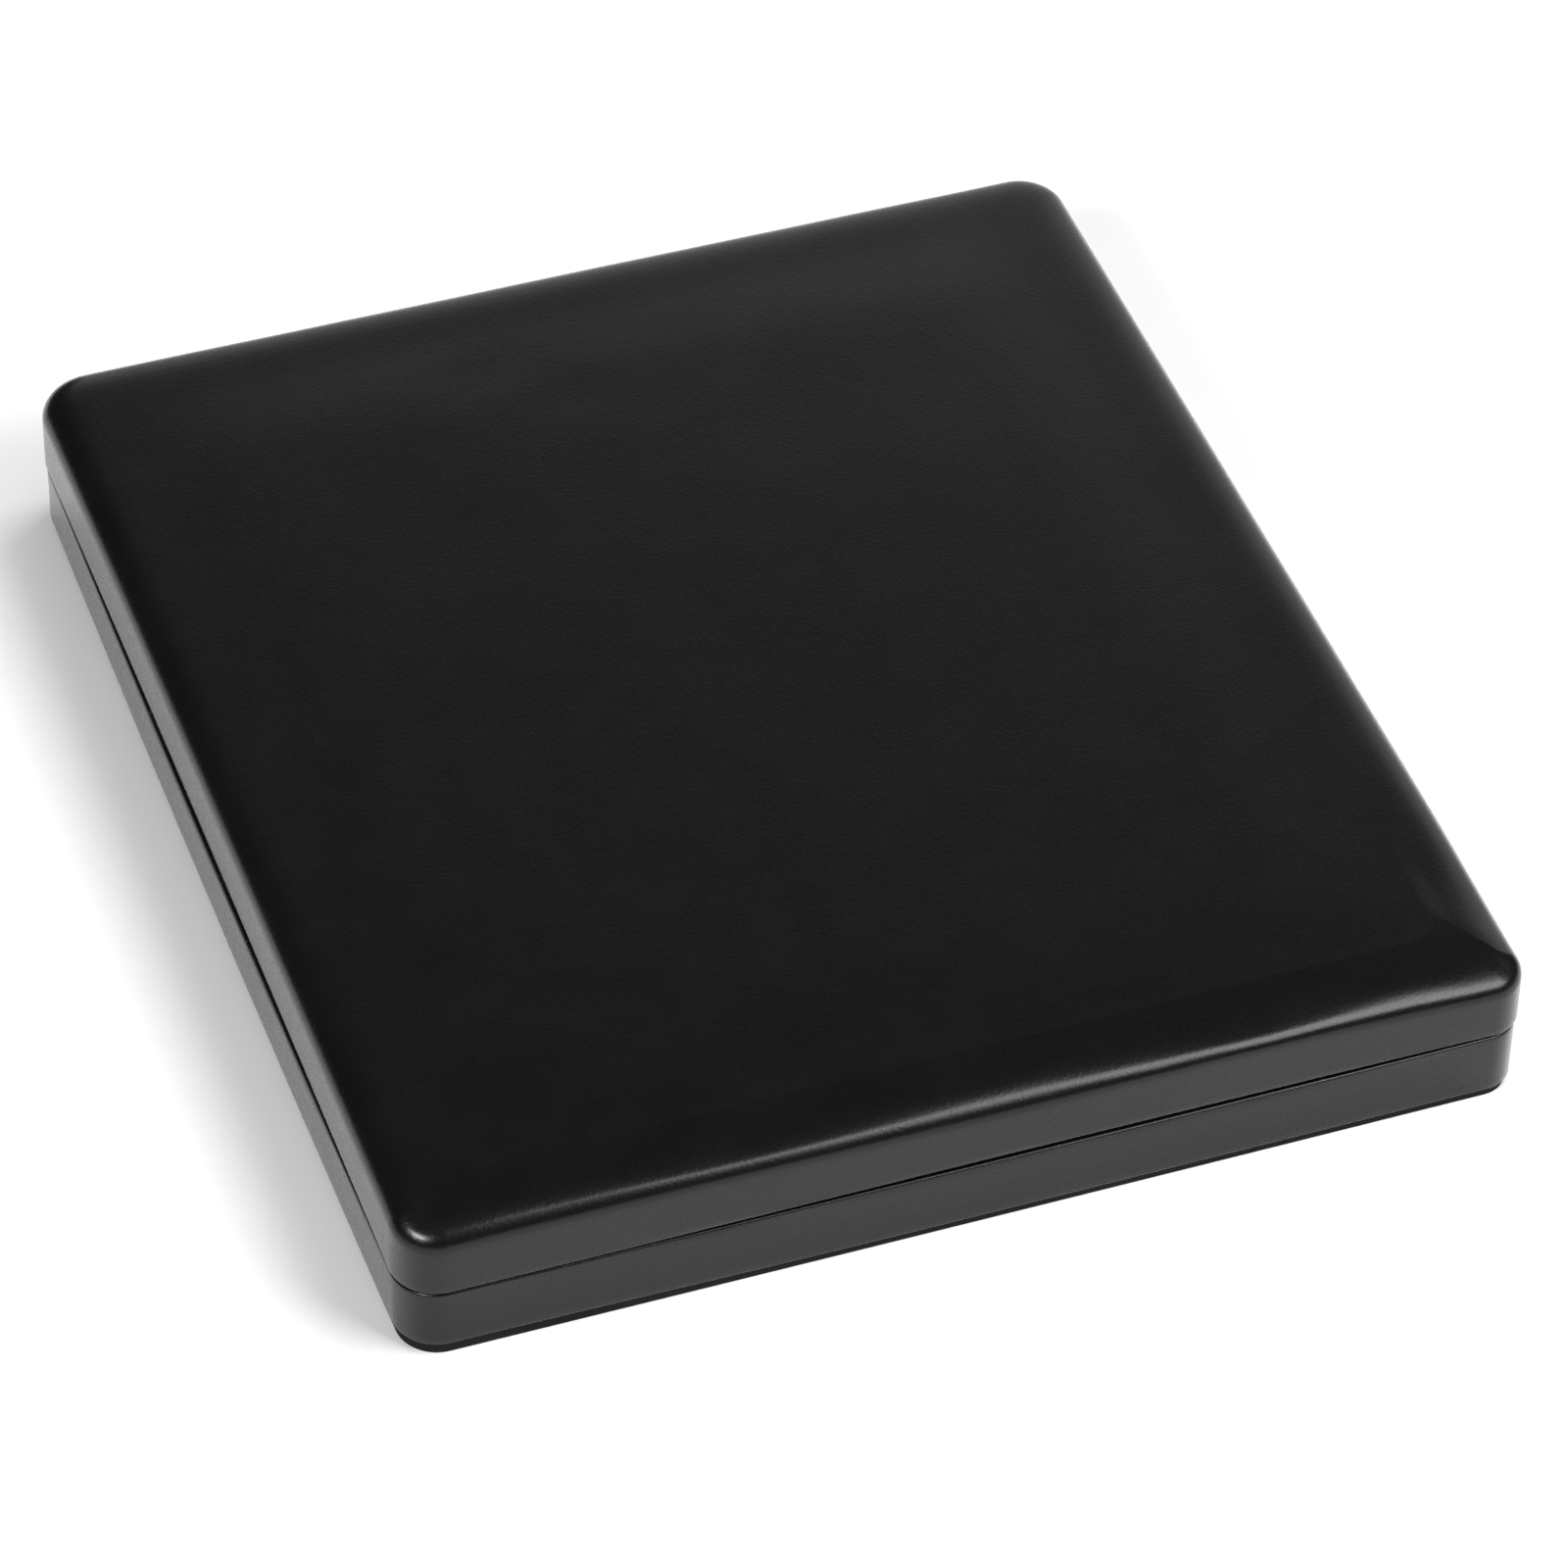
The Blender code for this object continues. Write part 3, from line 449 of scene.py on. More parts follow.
def velour_finish(finish):
    """Short flocked pile, with painted sheen: lighter patches where the nap leans the other way."""
    recipe = Recipe(
        "black_velour",
        Specular_IOR_Level=0.15,
        Sheen_Weight=0.55,
        Sheen_Roughness=0.35,
        Sheen_Tint=(0.55, 0.56, 0.60, 1.0),
    )
    place = recipe.place()
    tufts = recipe.noise(place, 0.28 * MM, detail=3.0, roughness=0.7)
    bent = recipe.bend(place, pitch=1.4 * MM, reach=0.5 * MM)
    clumps = recipe.cells(bent, 0.75 * MM, "SMOOTH_F1", smoothness=0.4)
    recipe.bump(0.6 * tufts + 0.4 * (1 - clumps), depth=0.09 * MM)
    brushed = recipe.stretch(place, 1.0, 0.45, 1.0)
    nap_and_painted_sheen = recipe.noise(brushed, 17 * MM, detail=3.0, roughness=0.55).between(0.38, 0.66)
    dark = tuple(finish.velour_colour)
    # Painted sheen: the colour is lighter where the nap leans the other way, in place of the pile's
    # reflection.
    tone = recipe.mix(nap_and_painted_sheen, shade(dark, 0.75), shade(dark, 1.7))
    tone = recipe.mix(0.35 * tufts.between(0.55, 0.8), tone, shade(dark, 3.0))
    recipe.set(Base_Color=tone, Roughness=0.86 + 0.12 * (1 - nap_and_painted_sheen))
    return recipe.material


def satin_finish(finish):
    """Fine satin: long floats along X, a soft sheen with painted sheen streaks, and threads here and there
    with a painted highlight.
    """
    recipe = Recipe(
        "black_satin",
        Specular_IOR_Level=0.55,
        Sheen_Weight=0.25,
        Sheen_Roughness=0.3,
        Anisotropic=0.45,
    )
    place = recipe.place()
    bent = recipe.bend(place, pitch=9 * MM, reach=0.35 * MM)
    warp = recipe.threads(bent, "Y", 0.34 * MM).wave()
    weft = (recipe.threads(bent, "X", 1.3 * MM) + recipe.threads(bent, "Y", 0.8 * MM)).wave()
    slub = recipe.noise(recipe.stretch(place, 0.12, 1.0, 1.0), 0.5 * MM)
    recipe.bump(0.45 * warp + 0.18 * weft + 0.6 * slub, depth=0.035 * MM)
    # Painted sheen: lighter streaks along X put into the satin's colour.
    sheen = recipe.noise(recipe.stretch(place, 0.3, 1.0, 1.0), 8 * MM).between(0.35, 0.7)
    dark = tuple(finish.satin_colour)
    tone = recipe.mix(sheen, shade(dark, 0.8), shade(dark, 1.35))
    # Painted highlight: a thread here and there is lighter, as if it caught the light.
    tone = recipe.mix(0.5 * slub.between(0.62, 0.8), tone, shade(dark, 3.0))
    recipe.set(Base_Color=tone, Roughness=0.34 + 0.05 * warp + 0.08 * (slub - 0.5))
    return recipe.material


def plastic_finish():
    """Moulded black plastic with a spark-eroded skin and faint flow marks."""
    recipe = Recipe("black_moulded_plastic", Specular_IOR_Level=0.5)
    place = recipe.place()
    grit = recipe.noise(place, 0.22 * MM, roughness=0.6)
    flow = recipe.noise(recipe.stretch(place, 0.25, 1.0, 1.0), 9 * MM)
    recipe.bump(grit + 0.6 * flow, depth=0.03 * MM)
    tone = recipe.mix(flow.between(0.35, 0.7), (0.016, 0.016, 0.017), (0.026, 0.026, 0.027))
    recipe.set(Base_Color=tone, Roughness=0.48 + 0.2 * (grit - 0.5))
    return recipe.material


def foam_finish():
    """Grey padding foam, cut so that its cells stand open, with painted shade in their hollows."""
    recipe = Recipe("grey_padding_foam", Specular_IOR_Level=0.2)
    place = recipe.place()
    bent = recipe.bend(place, pitch=1.2 * MM, reach=0.3 * MM)
    cells = recipe.cells(bent, 0.55 * MM).between(0.1, 0.7)
    fine = recipe.noise(place, 0.25 * MM)
    recipe.bump(cells + 0.4 * fine, depth=0.16 * MM)
    # Painted shade: the colour is darker in the middle of each cell, where its hollow lies.
    tone = recipe.mix(cells, (0.10, 0.10, 0.102), (0.23, 0.23, 0.232))
    recipe.set(Base_Color=tone, Roughness=0.9 + 0.08 * fine)
    return recipe.material


def board_finish():
    """Grey pressed board with flecks of fibre."""
    recipe = Recipe("grey_board", Specular_IOR_Level=0.25)
    place = recipe.place()
    fibre = recipe.noise(recipe.stretch(place, 0.35, 1.0, 1.0), 0.5 * MM, detail=4.0, roughness=0.65)
    flecks = recipe.noise(place, 1.1 * MM, detail=1.0).between(0.68, 0.74)
    recipe.bump(fibre, depth=0.05 * MM)
    tone = recipe.mix(fibre.between(0.35, 0.65), (0.20, 0.187, 0.165), (0.31, 0.295, 0.265))
    tone = recipe.mix(0.6 * flecks, tone, (0.08, 0.075, 0.065))
    recipe.set(Base_Color=tone, Roughness=0.82 + 0.12 * (fibre - 0.5))
    return recipe.material


def steel_finish(finish, name, brushed_along, wear):
    """Nickelled steel with rolling marks along one axis, fine scratches and dull spots."""
    recipe = Recipe(name, Metallic=1.0)
    place = recipe.place()
    stretches = {"X": (0.04, 1.0, 1.0), "Z": (1.0, 1.0, 0.04)}
    brushed = recipe.stretch(place, *stretches[brushed_along])
    marks = recipe.noise(brushed, 0.12 * MM, detail=3.0, roughness=0.6)
    spots = recipe.noise(place, 1.6 * MM, detail=3.0, roughness=0.6).between(0.5, 0.72)
    bright = tuple(finish.nickel_colour)
    tone = recipe.mix(wear * spots, bright, shade(bright, 0.62))
    tone = recipe.mix(0.3 * marks, tone, shade(bright, 1.12))
    recipe.bump(marks, depth=0.010 * MM)
    recipe.set(Base_Color=tone, Roughness=0.20 + 0.16 * marks + 0.14 * spots)
    return recipe.material


def floor_finish(finish):
    """Pale floor, a trace darker in broad patches."""
    recipe = Recipe("pale_floor", Specular_IOR_Level=0.2, Roughness=0.75)
    patches = recipe.noise(recipe.place(), 300 * MM).between(0.3, 0.7)
    pale = tuple(finish.floor_colour)
    recipe.set(Base_Color=recipe.mix(patches, shade(pale, 0.995), pale))
    return recipe.material


class Finishes:
    """Each finish is made when a piece first asks for it."""

    made = {}
    makers = {
        "leatherette": leatherette_finish,
        "velour": velour_finish,
        "satin": satin_finish,
        "floor": floor_finish,
        "paper": lambda finish: paper_finish(),
        "plastic": lambda finish: plastic_finish(),
        "foam": lambda finish: foam_finish(),
        "board": lambda finish: board_finish(),
        "leaf_steel": lambda finish: steel_finish(finish, "nickelled_leaf", "X", wear=0.5),
        "spring_steel": lambda finish: steel_finish(finish, "nickelled_spring", "Z", wear=0.7),
        "rivet_steel": lambda finish: steel_finish(finish, "nickelled_rivet", "X", wear=0.35),
    }

    @classmethod
    def get(cls, name):
        if name not in cls.made:
            cls.made[name] = cls.makers[name](bpy.context.scene.coin_box_finish)
        return cls.made[name]


# Rings, grids and small helpers for meshes

CORNER_STEPS = 14
WIDTH_STEPS = 36
DEPTH_STEPS = 42
WALL_STEPS = 8
SHARPEST_CORNER = 0.6 * MM
STRAIGHT = (0.0, 0.0, 0.0, 0.0)
SMOOTH_BELOW = math.radians(40)


def smoothstep(value):
    value = min(max(value, 0.0), 1.0)
    return value * value * (3 - 2 * value)


def near_edge(value, half, start, width=0.08):
    """0 in the middle and 1 near the edge. Start and width are shares of the half size."""
    return smoothstep((abs(value) / half - start) / width)


def middle_share(value, half, power=2):
    """1 in the middle and 0 at the edge. A higher power keeps it full for longer."""
    return max(0.0, 1 - (value / half) ** power)


def quarter_turn(steps, first=1):
    """Sine and cosine at even steps round a quarter of a circle."""
    for step in range(first, steps + 1):
        turned = math.radians(90 * step / steps)
        yield math.sin(turned), math.cos(turned)


def drift(x, y, z, pitch, seed):
    """Slow waviness from -1 to 1 that never repeats."""
    return noise.noise(Vector((x / pitch + seed, y / pitch - seed, z / pitch + 2 * seed)))


def corner_radius(full, inset):
    """Radius of a corner this far in: it shrinks near the outline and opens again under the padding."""
    opening, blend_width = 0.62, 2 * MM
    inward = max(inset, 0.0)
    shrunk, opened = full - inset, opening * inward
    blend = blend_width * inward / full
    return max(0.5 * (shrunk + opened + math.hypot(shrunk - opened, blend)), SHARPEST_CORNER)


def corner_arcs(inset, shape):
    """The rounds of the right front, right back, left back and left front corner, this far in."""
    arcs = []
    corners = ((1, -1, -90), (1, 1, 0), (-1, 1, 90), (-1, -1, 180))
    for (side_x, side_y, start), full in zip(corners, shape.corner_radii):
        radius = corner_radius(full, inset)
        centre_x = side_x * (HALF_X - inset - radius)
        centre_y = side_y * (HALF_Y - inset - radius)
        arc = []
        for step in range(CORNER_STEPS + 1):
            turned = math.radians(start + 90 * step / CORNER_STEPS)
            out_x, out_y = math.cos(turned), math.sin(turned)
            arc.append((centre_x + radius * out_x, centre_y + radius * out_y, out_x, out_y))
        arcs.append(arc)
    return arcs


def plan_outline(inset, shape, bow=STRAIGHT):
    """Points round the box, this far inside the lid's outline, each as (x, y, outward x, outward y).

    Bow says how far the right, back, left and front swell in their middle.
    """
    arcs = corner_arcs(inset, shape)
    points = []
    for number, arc in enumerate(arcs):
        points += arc
        last, first = arc[-1], arcs[(number + 1) % 4][0]
        steps = DEPTH_STEPS if number % 2 == 0 else WIDTH_STEPS
        for step in range(1, steps):
            share = step / steps
            x = last[0] + (first[0] - last[0]) * share
            y = last[1] + (first[1] - last[1]) * share
            points.append((x, y, last[2], last[3]))
    fade = max(0.0, 1 - inset / shape.shoulder_width)
    right, back, left, front = (side * fade for side in bow)
    bowed = []
    for x, y, out_x, out_y in points:
        x_bow = (right if out_x > 0 else left) * out_x * (1 - (y / HALF_Y) ** 2)
        y_bow = (back if out_y > 0 else front) * out_y * (1 - (x / HALF_X) ** 2)
        bowed.append((x + x_bow, y + y_bow, out_x, out_y))
    return bowed


def patch_place(u, v, sides, ends, axis):
    """Where a point of a grid stretched between four sides and their ends lies along one axis."""
    front, back, left, right = (side[axis] for side in sides)
    front_left, front_right, back_left, back_right = (end[axis] for end in ends)
    between_sides = (1 - v) * front + v * back + (1 - u) * left + u * right
    between_front_ends = (1 - u) * (1 - v) * front_left + u * (1 - v) * front_right
    return between_sides - (between_front_ends + (1 - u) * v * back_left + u * v * back_right)


class Skin:
    """Collects the rings and faces of one piece."""

    def __init__(self):
        self.points = []
        self.faces = []

    def add(self, points):
        start = len(self.points)
        self.points += points
        return list(range(start, len(self.points)))

    def ring(self, inset, height, shape, bow=STRAIGHT, push=None):
        """A ring at this inset.

        Height is a number or says the height at each x, y. Push moves points outwards.
        """
        high = height if callable(height) else lambda x, y: height
        placed = []
        for x, y, out_x, out_y in plan_outline(inset, shape, bow):
            out = push(x, y) if push else 0.0
            placed.append((x + out * out_x, y + out * out_y, high(x, y)))
        return self.add(placed)

    def join(self, rings, closed=False):
        """Faces from each ring to the next, and from the last to the first where they close a loop."""
        following = rings[1:] + rings[:1] if closed else rings[1:]
        for first, second in zip(rings, following):
            count = len(first)
            for i in range(count):
                j = (i + 1) % count
                self.faces.append((first[i], first[j], second[j], second[i]))

    def cap(self, ring, height):
        """Fills a ring with a grid whose lines run from side to side."""
        sides = []
        start = CORNER_STEPS // 2
        for run in (DEPTH_STEPS, WIDTH_STEPS, DEPTH_STEPS, WIDTH_STEPS):
            steps = CORNER_STEPS + run
            sides.append([ring[(start + i) % len(ring)] for i in range(steps + 1)])
            start += steps
        right, back, left, front = sides
        back, left = back[::-1], left[::-1]
        across, deep = len(front) - 1, len(right) - 1
        grid = [[None] * (across + 1) for _ in range(deep + 1)]
        grid[0], grid[deep] = list(front), list(back)
        for j in range(deep + 1):
            grid[j][0], grid[j][across] = left[j], right[j]
        points = self.points
        ends = [points[front[0]], points[front[-1]], points[back[0]], points[back[-1]]]
        for j in range(1, deep):
            for i in range(1, across):
                edges = [points[side] for side in (front[i], back[i], left[j], right[j])]
                x, y = (patch_place(i / across, j / deep, edges, ends, axis) for axis in (0, 1))
                grid[j][i] = self.add([(x, y, height(x, y))])[0]
        for j in range(deep):
            for i in range(across):
                self.faces.append((grid[j][i], grid[j][i + 1], grid[j + 1][i + 1], grid[j + 1][i]))

    def build(self, name, open_below=False):
        """Makes the piece. A closed one faces outwards, and one that is open turns its faces downwards."""
        mesh = bpy.data.meshes.new(name)
        mesh.from_pydata(self.points, [], self.faces)
        body = bmesh.new()
        body.from_mesh(mesh)
        bmesh.ops.delete(body, geom=[vert for vert in body.verts if not vert.link_faces], context="VERTS")
        bmesh.ops.recalc_face_normals(body, faces=body.faces)
        if open_below and sum(face.normal.z for face in body.faces) > 0:
            bmesh.ops.reverse_faces(body, faces=body.faces)
        body.to_mesh(mesh)
        body.free()
        mesh.shade_smooth()
        mesh.set_sharp_from_angle(angle=SMOOTH_BELOW)
        return add_object(name, mesh)


def add_object(name, data):
    """A new object in the scene with this mesh, lamp or camera."""
    thing = bpy.data.objects.new(name, data)
    bpy.context.scene.collection.objects.link(thing)
    return thing


def add_body(name, body):
    """A new object from bmesh data, which is freed."""
    mesh = bpy.data.meshes.new(name)
    body.to_mesh(mesh)
    body.free()
    return add_object(name, mesh)


def keep_result(thing):
    """Applies every modifier of the piece."""
    bpy.context.view_layer.update()
    depsgraph = bpy.context.evaluated_depsgraph_get()
    mesh = bpy.data.meshes.new_from_object(thing.evaluated_get(depsgraph))
    thing.modifiers.clear()
    thing.data = mesh
    return mesh


def cut_away(thing, cutters):
    """Cuts each cutter's shape out of the piece and removes the cutters."""
    for cutter in cutters:
        modifier = thing.modifiers.new(cutter.name, "BOOLEAN")
        modifier.operation = "DIFFERENCE"
        modifier.solver = "EXACT"
        modifier.object = cutter
    keep_result(thing)
    for cutter in cutters:
        bpy.data.objects.remove(cutter, do_unlink=True)


def block(name, low, high):
    body = bmesh.new()
    for corner in itertools.product(*zip(low, high)):
        body.verts.new(corner)
    bmesh.ops.convex_hull(body, input=body.verts)
    return add_body(name, body)


def rod(name, x_from, x_to, radius):
    """A rod along the hinge's axis."""
    sides = 40
    body = bmesh.new()
    bmesh.ops.create_cone(
        body, cap_ends=True, segments=sides, radius1=radius, radius2=radius, depth=x_to - x_from
    )
    bmesh.ops.rotate(body, verts=body.verts, matrix=Matrix.Rotation(math.radians(90), 3, "Y"))
    bmesh.ops.translate(body, verts=body.verts, vec=((x_from + x_to) / 2, AXIS_Y, AXIS_Z))
    return add_body(name, body)


def dress(thing, body, finish, node):
    """Gives a new piece its finish, its body and the node that it stands for."""
    thing.data.materials.clear()
    thing.data.materials.append(Finishes.get(finish))
    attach(thing, body)
    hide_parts(node)


def repaint(node, finish):
    """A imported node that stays, in a better finish."""
    for entry in frame["nodes"][node].material_slots:
        entry.link = "OBJECT"
        entry.material = Finishes.get(finish)


# Rims and what both skins share

PLEAT_DEPTH = 0.10 * MM
FLOOR_PLEAT_DEPTH = 0.03 * MM
WALL_WAVE = 0.05 * MM


def groove(y, behind):
    """How far a rim stays from the hinge's axis because the hinge's groove is cut there."""
    return HALF_SEAM + (y - AXIS_Y) * math.tan(BEVEL) + behind / math.cos(BEVEL)


def seam_play(x, y):
    """How far a rim stands back here: most on the left and along the right of the front, least at corners."""
    middle_y = middle_share(y, HALF_Y)
    if x < 0 and y < 0:
        middle_y **= 0.35
    side = (SEAM_LEFT if x < 0 else SEAM_RIGHT) * middle_y
    if y < 0:
        widening = smoothstep((x - SEAM_WIDENS_FROM) / SEAM_WIDENS_OVER)
        end = (SEAM_FRONT_LEFT + SEAM_FRONT_WIDENING * widening) * middle_share(x, HALF_X, power=8)
    else:
        end = SEAM_BACK * middle_share(x, HALF_X)
    return SEAM_CORNERS + side * near_edge(x, HALF_X, 0.88) + end * near_edge(y, HALF_Y, 0.9)


def lid_rim(x, y, behind=0.0):
    """Height of the lid's rim, or of a surface this far behind it."""
    return max(LID_LOW.z + seam_play(x, y) + behind, AXIS_Z + groove(y, behind))


def base_rim(x, y, behind=0.0):
    """Height of the lower half's rim, or of a surface this far behind it."""
    return min(BASE_HIGH.z - seam_play(x, y) - behind, AXIS_Z - groove(y, behind))


def pleats(x, y, depth):
    """Small folds where the skin turns round a corner of a rim."""
    centre, folds = 9 * MM, 22
    near = near_edge(x, HALF_X, 0.93, 0.03) * near_edge(y, HALF_Y, 0.93, 0.03)
    round_corner = math.atan2(abs(y) - HALF_Y + centre, abs(x) - HALF_X + centre)
    return depth * near * (0.5 + 0.5 * math.cos(round_corner * folds))


def wall_wave(x, y, z, out_x, out_y, amount):
    """Side walls are never quite flat under the skin."""
    push = amount * drift(x, y, z * 2, pitch=17 * MM, seed=8.1)
    return x + out_x * push, y + out_y * push, z


def turned_in(skin, shape, rim, into, start, bow, shares=(0.25, 0.5, 0.75, 1.0)):
    """Rings across a rim from this inset, round its inner edge and along the inner face to the skin's end.

    Rim says the rim's height at each x, y. Into is 1 in the lid, above its rim, and -1 in the lower half.
    """
    radius, near, far = shape.rim_radius, shape.inner_face, shape.inner_face + shape.skin
    seam_face = LID_LOW.z if into > 0 else BASE_HIGH.z
    end = seam_face + into * shape.turn_in
    rings = []

    def down_face(share):
        return lambda x, y: (1 - share) * (rim(x, y) + into * radius) + share * end

    for share in shares:
        inset = start + share * (far - start - radius)
        rings.append(skin.ring(inset, lambda x, y: rim(x, y) + into * pleats(x, y, PLEAT_DEPTH), shape, bow))
    for sine, cosine in quarter_turn(3):
        inset, up = far - radius * (1 - sine), into * radius * (1 - cosine)
        rings.append(skin.ring(inset, lambda x, y: rim(x, y) + up, shape))
    rings += [skin.ring(far, down_face(share), shape) for share in (0.5, 1.0)]
    rings.append(skin.ring(near, end, shape))
    return rings


def hinge_cutters(rim_height, turn_in):
    """Room in a skin for each hinge's barrel and for the leaf behind the turned-in edge."""
    clear, spare = 0.4 * MM, 1.0 * MM
    slot_near, slot_far = 2.9 * MM, 4.8 * MM
    low_end, high_end = sorted((rim_height, rim_height + turn_in))
    cutters = []
    for side in ("left", "right"):
        low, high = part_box(f"{side}_hinge_base_leaf")
        x_from, x_to = low.x - clear, high.x + clear
        cutters.append(rod(f"{side}_barrel_room", x_from, x_to, high.y - AXIS_Y + clear))
        slot_low = (x_from, HALF_Y - slot_far, low_end - spare)
        slot_high = (x_to, HALF_Y - slot_near, high_end + spare)
        cutters.append(block(f"{side}_leaf_room", slot_low, slot_high))
    return cutters


# The lid's skin and pad

ROUND_STEPS = 9
SLOPE_SHARES = (0.05, 0.11, 0.19, 0.29, 0.41, 0.56, 0.76, 1.0)
CROWN_START = 1.5 * MM
CROWN_SPAN = 21 * MM
CROWN_BACK_GAP = 0.1 * MM


def dents(x, y):
    """How far the lid's skin is pressed in here."""
    depth = 0.0
    for at_x, at_y, reach_x, reach_y, deep in LID_DENTS:
        depth += deep * math.exp(-(((x - at_x) / reach_x) ** 2) - ((y - at_y) / reach_y) ** 2)
    return depth


def front_shoulder(x):
    """Radius, turn and drop of the shoulder at this place along the front."""
    for before, after in zip(FRONT_SHOULDER, FRONT_SHOULDER[1:]):
        if x <= after[0]:
            break
    share = smoothstep((x - before[0]) / (after[0] - before[0]))
    radius, degrees, drop = (a + (b - a) * share for a, b in zip(before[1:], after[1:]))
    return radius, math.radians(degrees), drop


def front_share(x, y, out_y):
    """How much the shoulder here is the front's: wholly along the front, and fading along the right side."""
    beside = SIDE_SHARE * smoothstep((SIDE_SHARE_FROM - y) / SIDE_SHARE_OVER) if x > 0 else 0.0
    return beside + (1 - beside) * smoothstep(-out_y)


def lid_shoulder(shape, wall_top, radius, turn, inside):
    """Inset and height along the padded shoulder, from the wall inwards, or this far inside its skin.

    It leaves the wall on a round of this radius, turns by this angle and then flattens out.
    """
    line = []
    reach = radius - inside
    for step in range(ROUND_STEPS + 1):
        turned = turn * step / ROUND_STEPS
        line.append((radius - reach * math.cos(turned), wall_top + reach * math.sin(turned)))
    start = radius * (1 - math.cos(turn))
    height = wall_top + radius * math.sin(turn)
    rise = LID_HIGH.z - shape.crown_rise - height
    fade = 1 / math.tan(turn) / rise
    for share in SLOPE_SHARES:
        along = share * (shape.shoulder_width - start)
        slope = math.atan(rise * fade * math.exp(-fade * along))
        z = height + rise * (1 - math.exp(-fade * along))
        line.append((start + along + inside * math.sin(slope), z - inside * math.cos(slope)))
    return line


def shoulder_rings(skin, shape, inside, soften=None):
    """Rings along the shoulder, which begins lower along the front and is fuller there in places."""
    wall_top = AXIS_Z + shape.lid_wall_height
    side = lid_shoulder(shape, wall_top, shape.shoulder_radius, shape.shoulder_turn, inside)
    fronts = []
    for x, *_ in plan_outline(0.0, shape):
        radius, turn, drop = front_shoulder(x)
        fronts.append(lid_shoulder(shape, wall_top - drop, radius, turn, inside))
    rings = []
    for number, (side_inset, side_z) in enumerate(side):
        placed = []
        for (x, y, out_x, out_y), front in zip(plan_outline(side_inset, shape, shape.lid_bow), fronts):
            share = front_share(x, y, out_y)
            front_inset, front_z = front[number]
            move = (front_inset - side_inset) * share
            point = (x - out_x * move, y - out_y * move, side_z + (front_z - side_z) * share)
            placed.append(soften(*point) if soften else point)
        rings.append(skin.add(placed))
    return rings


def lid_crown(shape, x, y, below=0.0):
    """Height of the lid's top past its shoulder, or of a surface this far below it."""
    rise_x = smoothstep((HALF_X - abs(x) - shape.shoulder_width) / CROWN_SPAN)
    rise_y = smoothstep((HALF_Y - abs(y) - shape.shoulder_width) / CROWN_SPAN)
    return LID_HIGH.z - shape.crown_rise * (1 - rise_x * rise_y) - below


def soften_lid(shape, x, y, z):
    """A point of the lid's outer skin with its dents and slow waves."""
    wave_depth, sideways, wall_fade = 0.045 * MM, 0.6, 2 * MM
    soft = smoothstep((z - AXIS_Z - shape.lid_wall_height) / wall_fade)
    press = (dents(x, y) + wave_depth * (1 + drift(x, y, 0, pitch=21 * MM, seed=3.7))) * soft
    toward_x = max(0.0, abs(x) - HALF_X + shape.shoulder_width) / shape.shoulder_width
    toward_y = max(0.0, abs(y) - HALF_Y + shape.shoulder_width) / shape.shoulder_width
    return (
        x - math.copysign(sideways * press * toward_x, x),
        y - math.copysign(sideways * press * toward_y, y),
        z - press,
    )


def lid_wall_rings(skin, shape):
    """Rings from the foot of the shoulder down to where the rim's round begins."""
    rings = []
    for step in range(1, WALL_STEPS + 1):
        placed = []
        for x, y, out_x, out_y in plan_outline(0.0, shape, shape.lid_bow):
            top = AXIS_Z + shape.lid_wall_height - front_shoulder(x)[2] * front_share(x, y, out_y)
            low = lid_rim(x, y) + shape.rim_radius
            z = top + (low - top) * step / WALL_STEPS
            placed.append(wall_wave(x, y, z, out_x, out_y, WALL_WAVE * step / WALL_STEPS))
        rings.append(skin.add(placed))
    return rings


def make_lid_leatherette(shape):
    """The lid's outer skin, over the pad and the wall, round the rim and up the inner face."""
    skin = Skin()
    radius, bow, behind, near = shape.rim_radius, shape.lid_bow, shape.skin, shape.inner_face
    crown_at = shape.shoulder_width + CROWN_START

    def soften(x, y, z):
        return soften_lid(shape, x, y, z)

    def soft_crown(x, y):
        return soften(x, y, lid_crown(shape, x, y))[2]

    def crown_back(x, y):
        return lid_crown(shape, x, y, behind + CROWN_BACK_GAP)

    first = skin.ring(crown_at, soft_crown, shape)
    skin.cap(first, soft_crown)
    rings = [first, *reversed(shoulder_rings(skin, shape, 0.0, soften))]
    rings += lid_wall_rings(skin, shape)
    for sine, cosine in quarter_turn(5):
        up = radius * (1 - sine)
        rings.append(skin.ring(radius * (1 - cosine), lambda x, y: lid_rim(x, y) + up, shape, bow))
    rings += turned_in(skin, shape, lid_rim, 1, radius, bow)
    for inset in (near, 0.5 * (near + behind), behind):
        rings.append(skin.ring(inset, lambda x, y: lid_rim(x, y, behind), shape, bow))
    rings += shoulder_rings(skin, shape, behind)
    last = skin.ring(crown_at, crown_back, shape)
    skin.join([*rings, last])
    skin.cap(last, lambda x, y: crown_back(x, y) - dents(x, y))
    thing = skin.build("lid_leatherette")
    cut_away(thing, hinge_cutters(LID_LOW.z, shape.turn_in))
    return thing


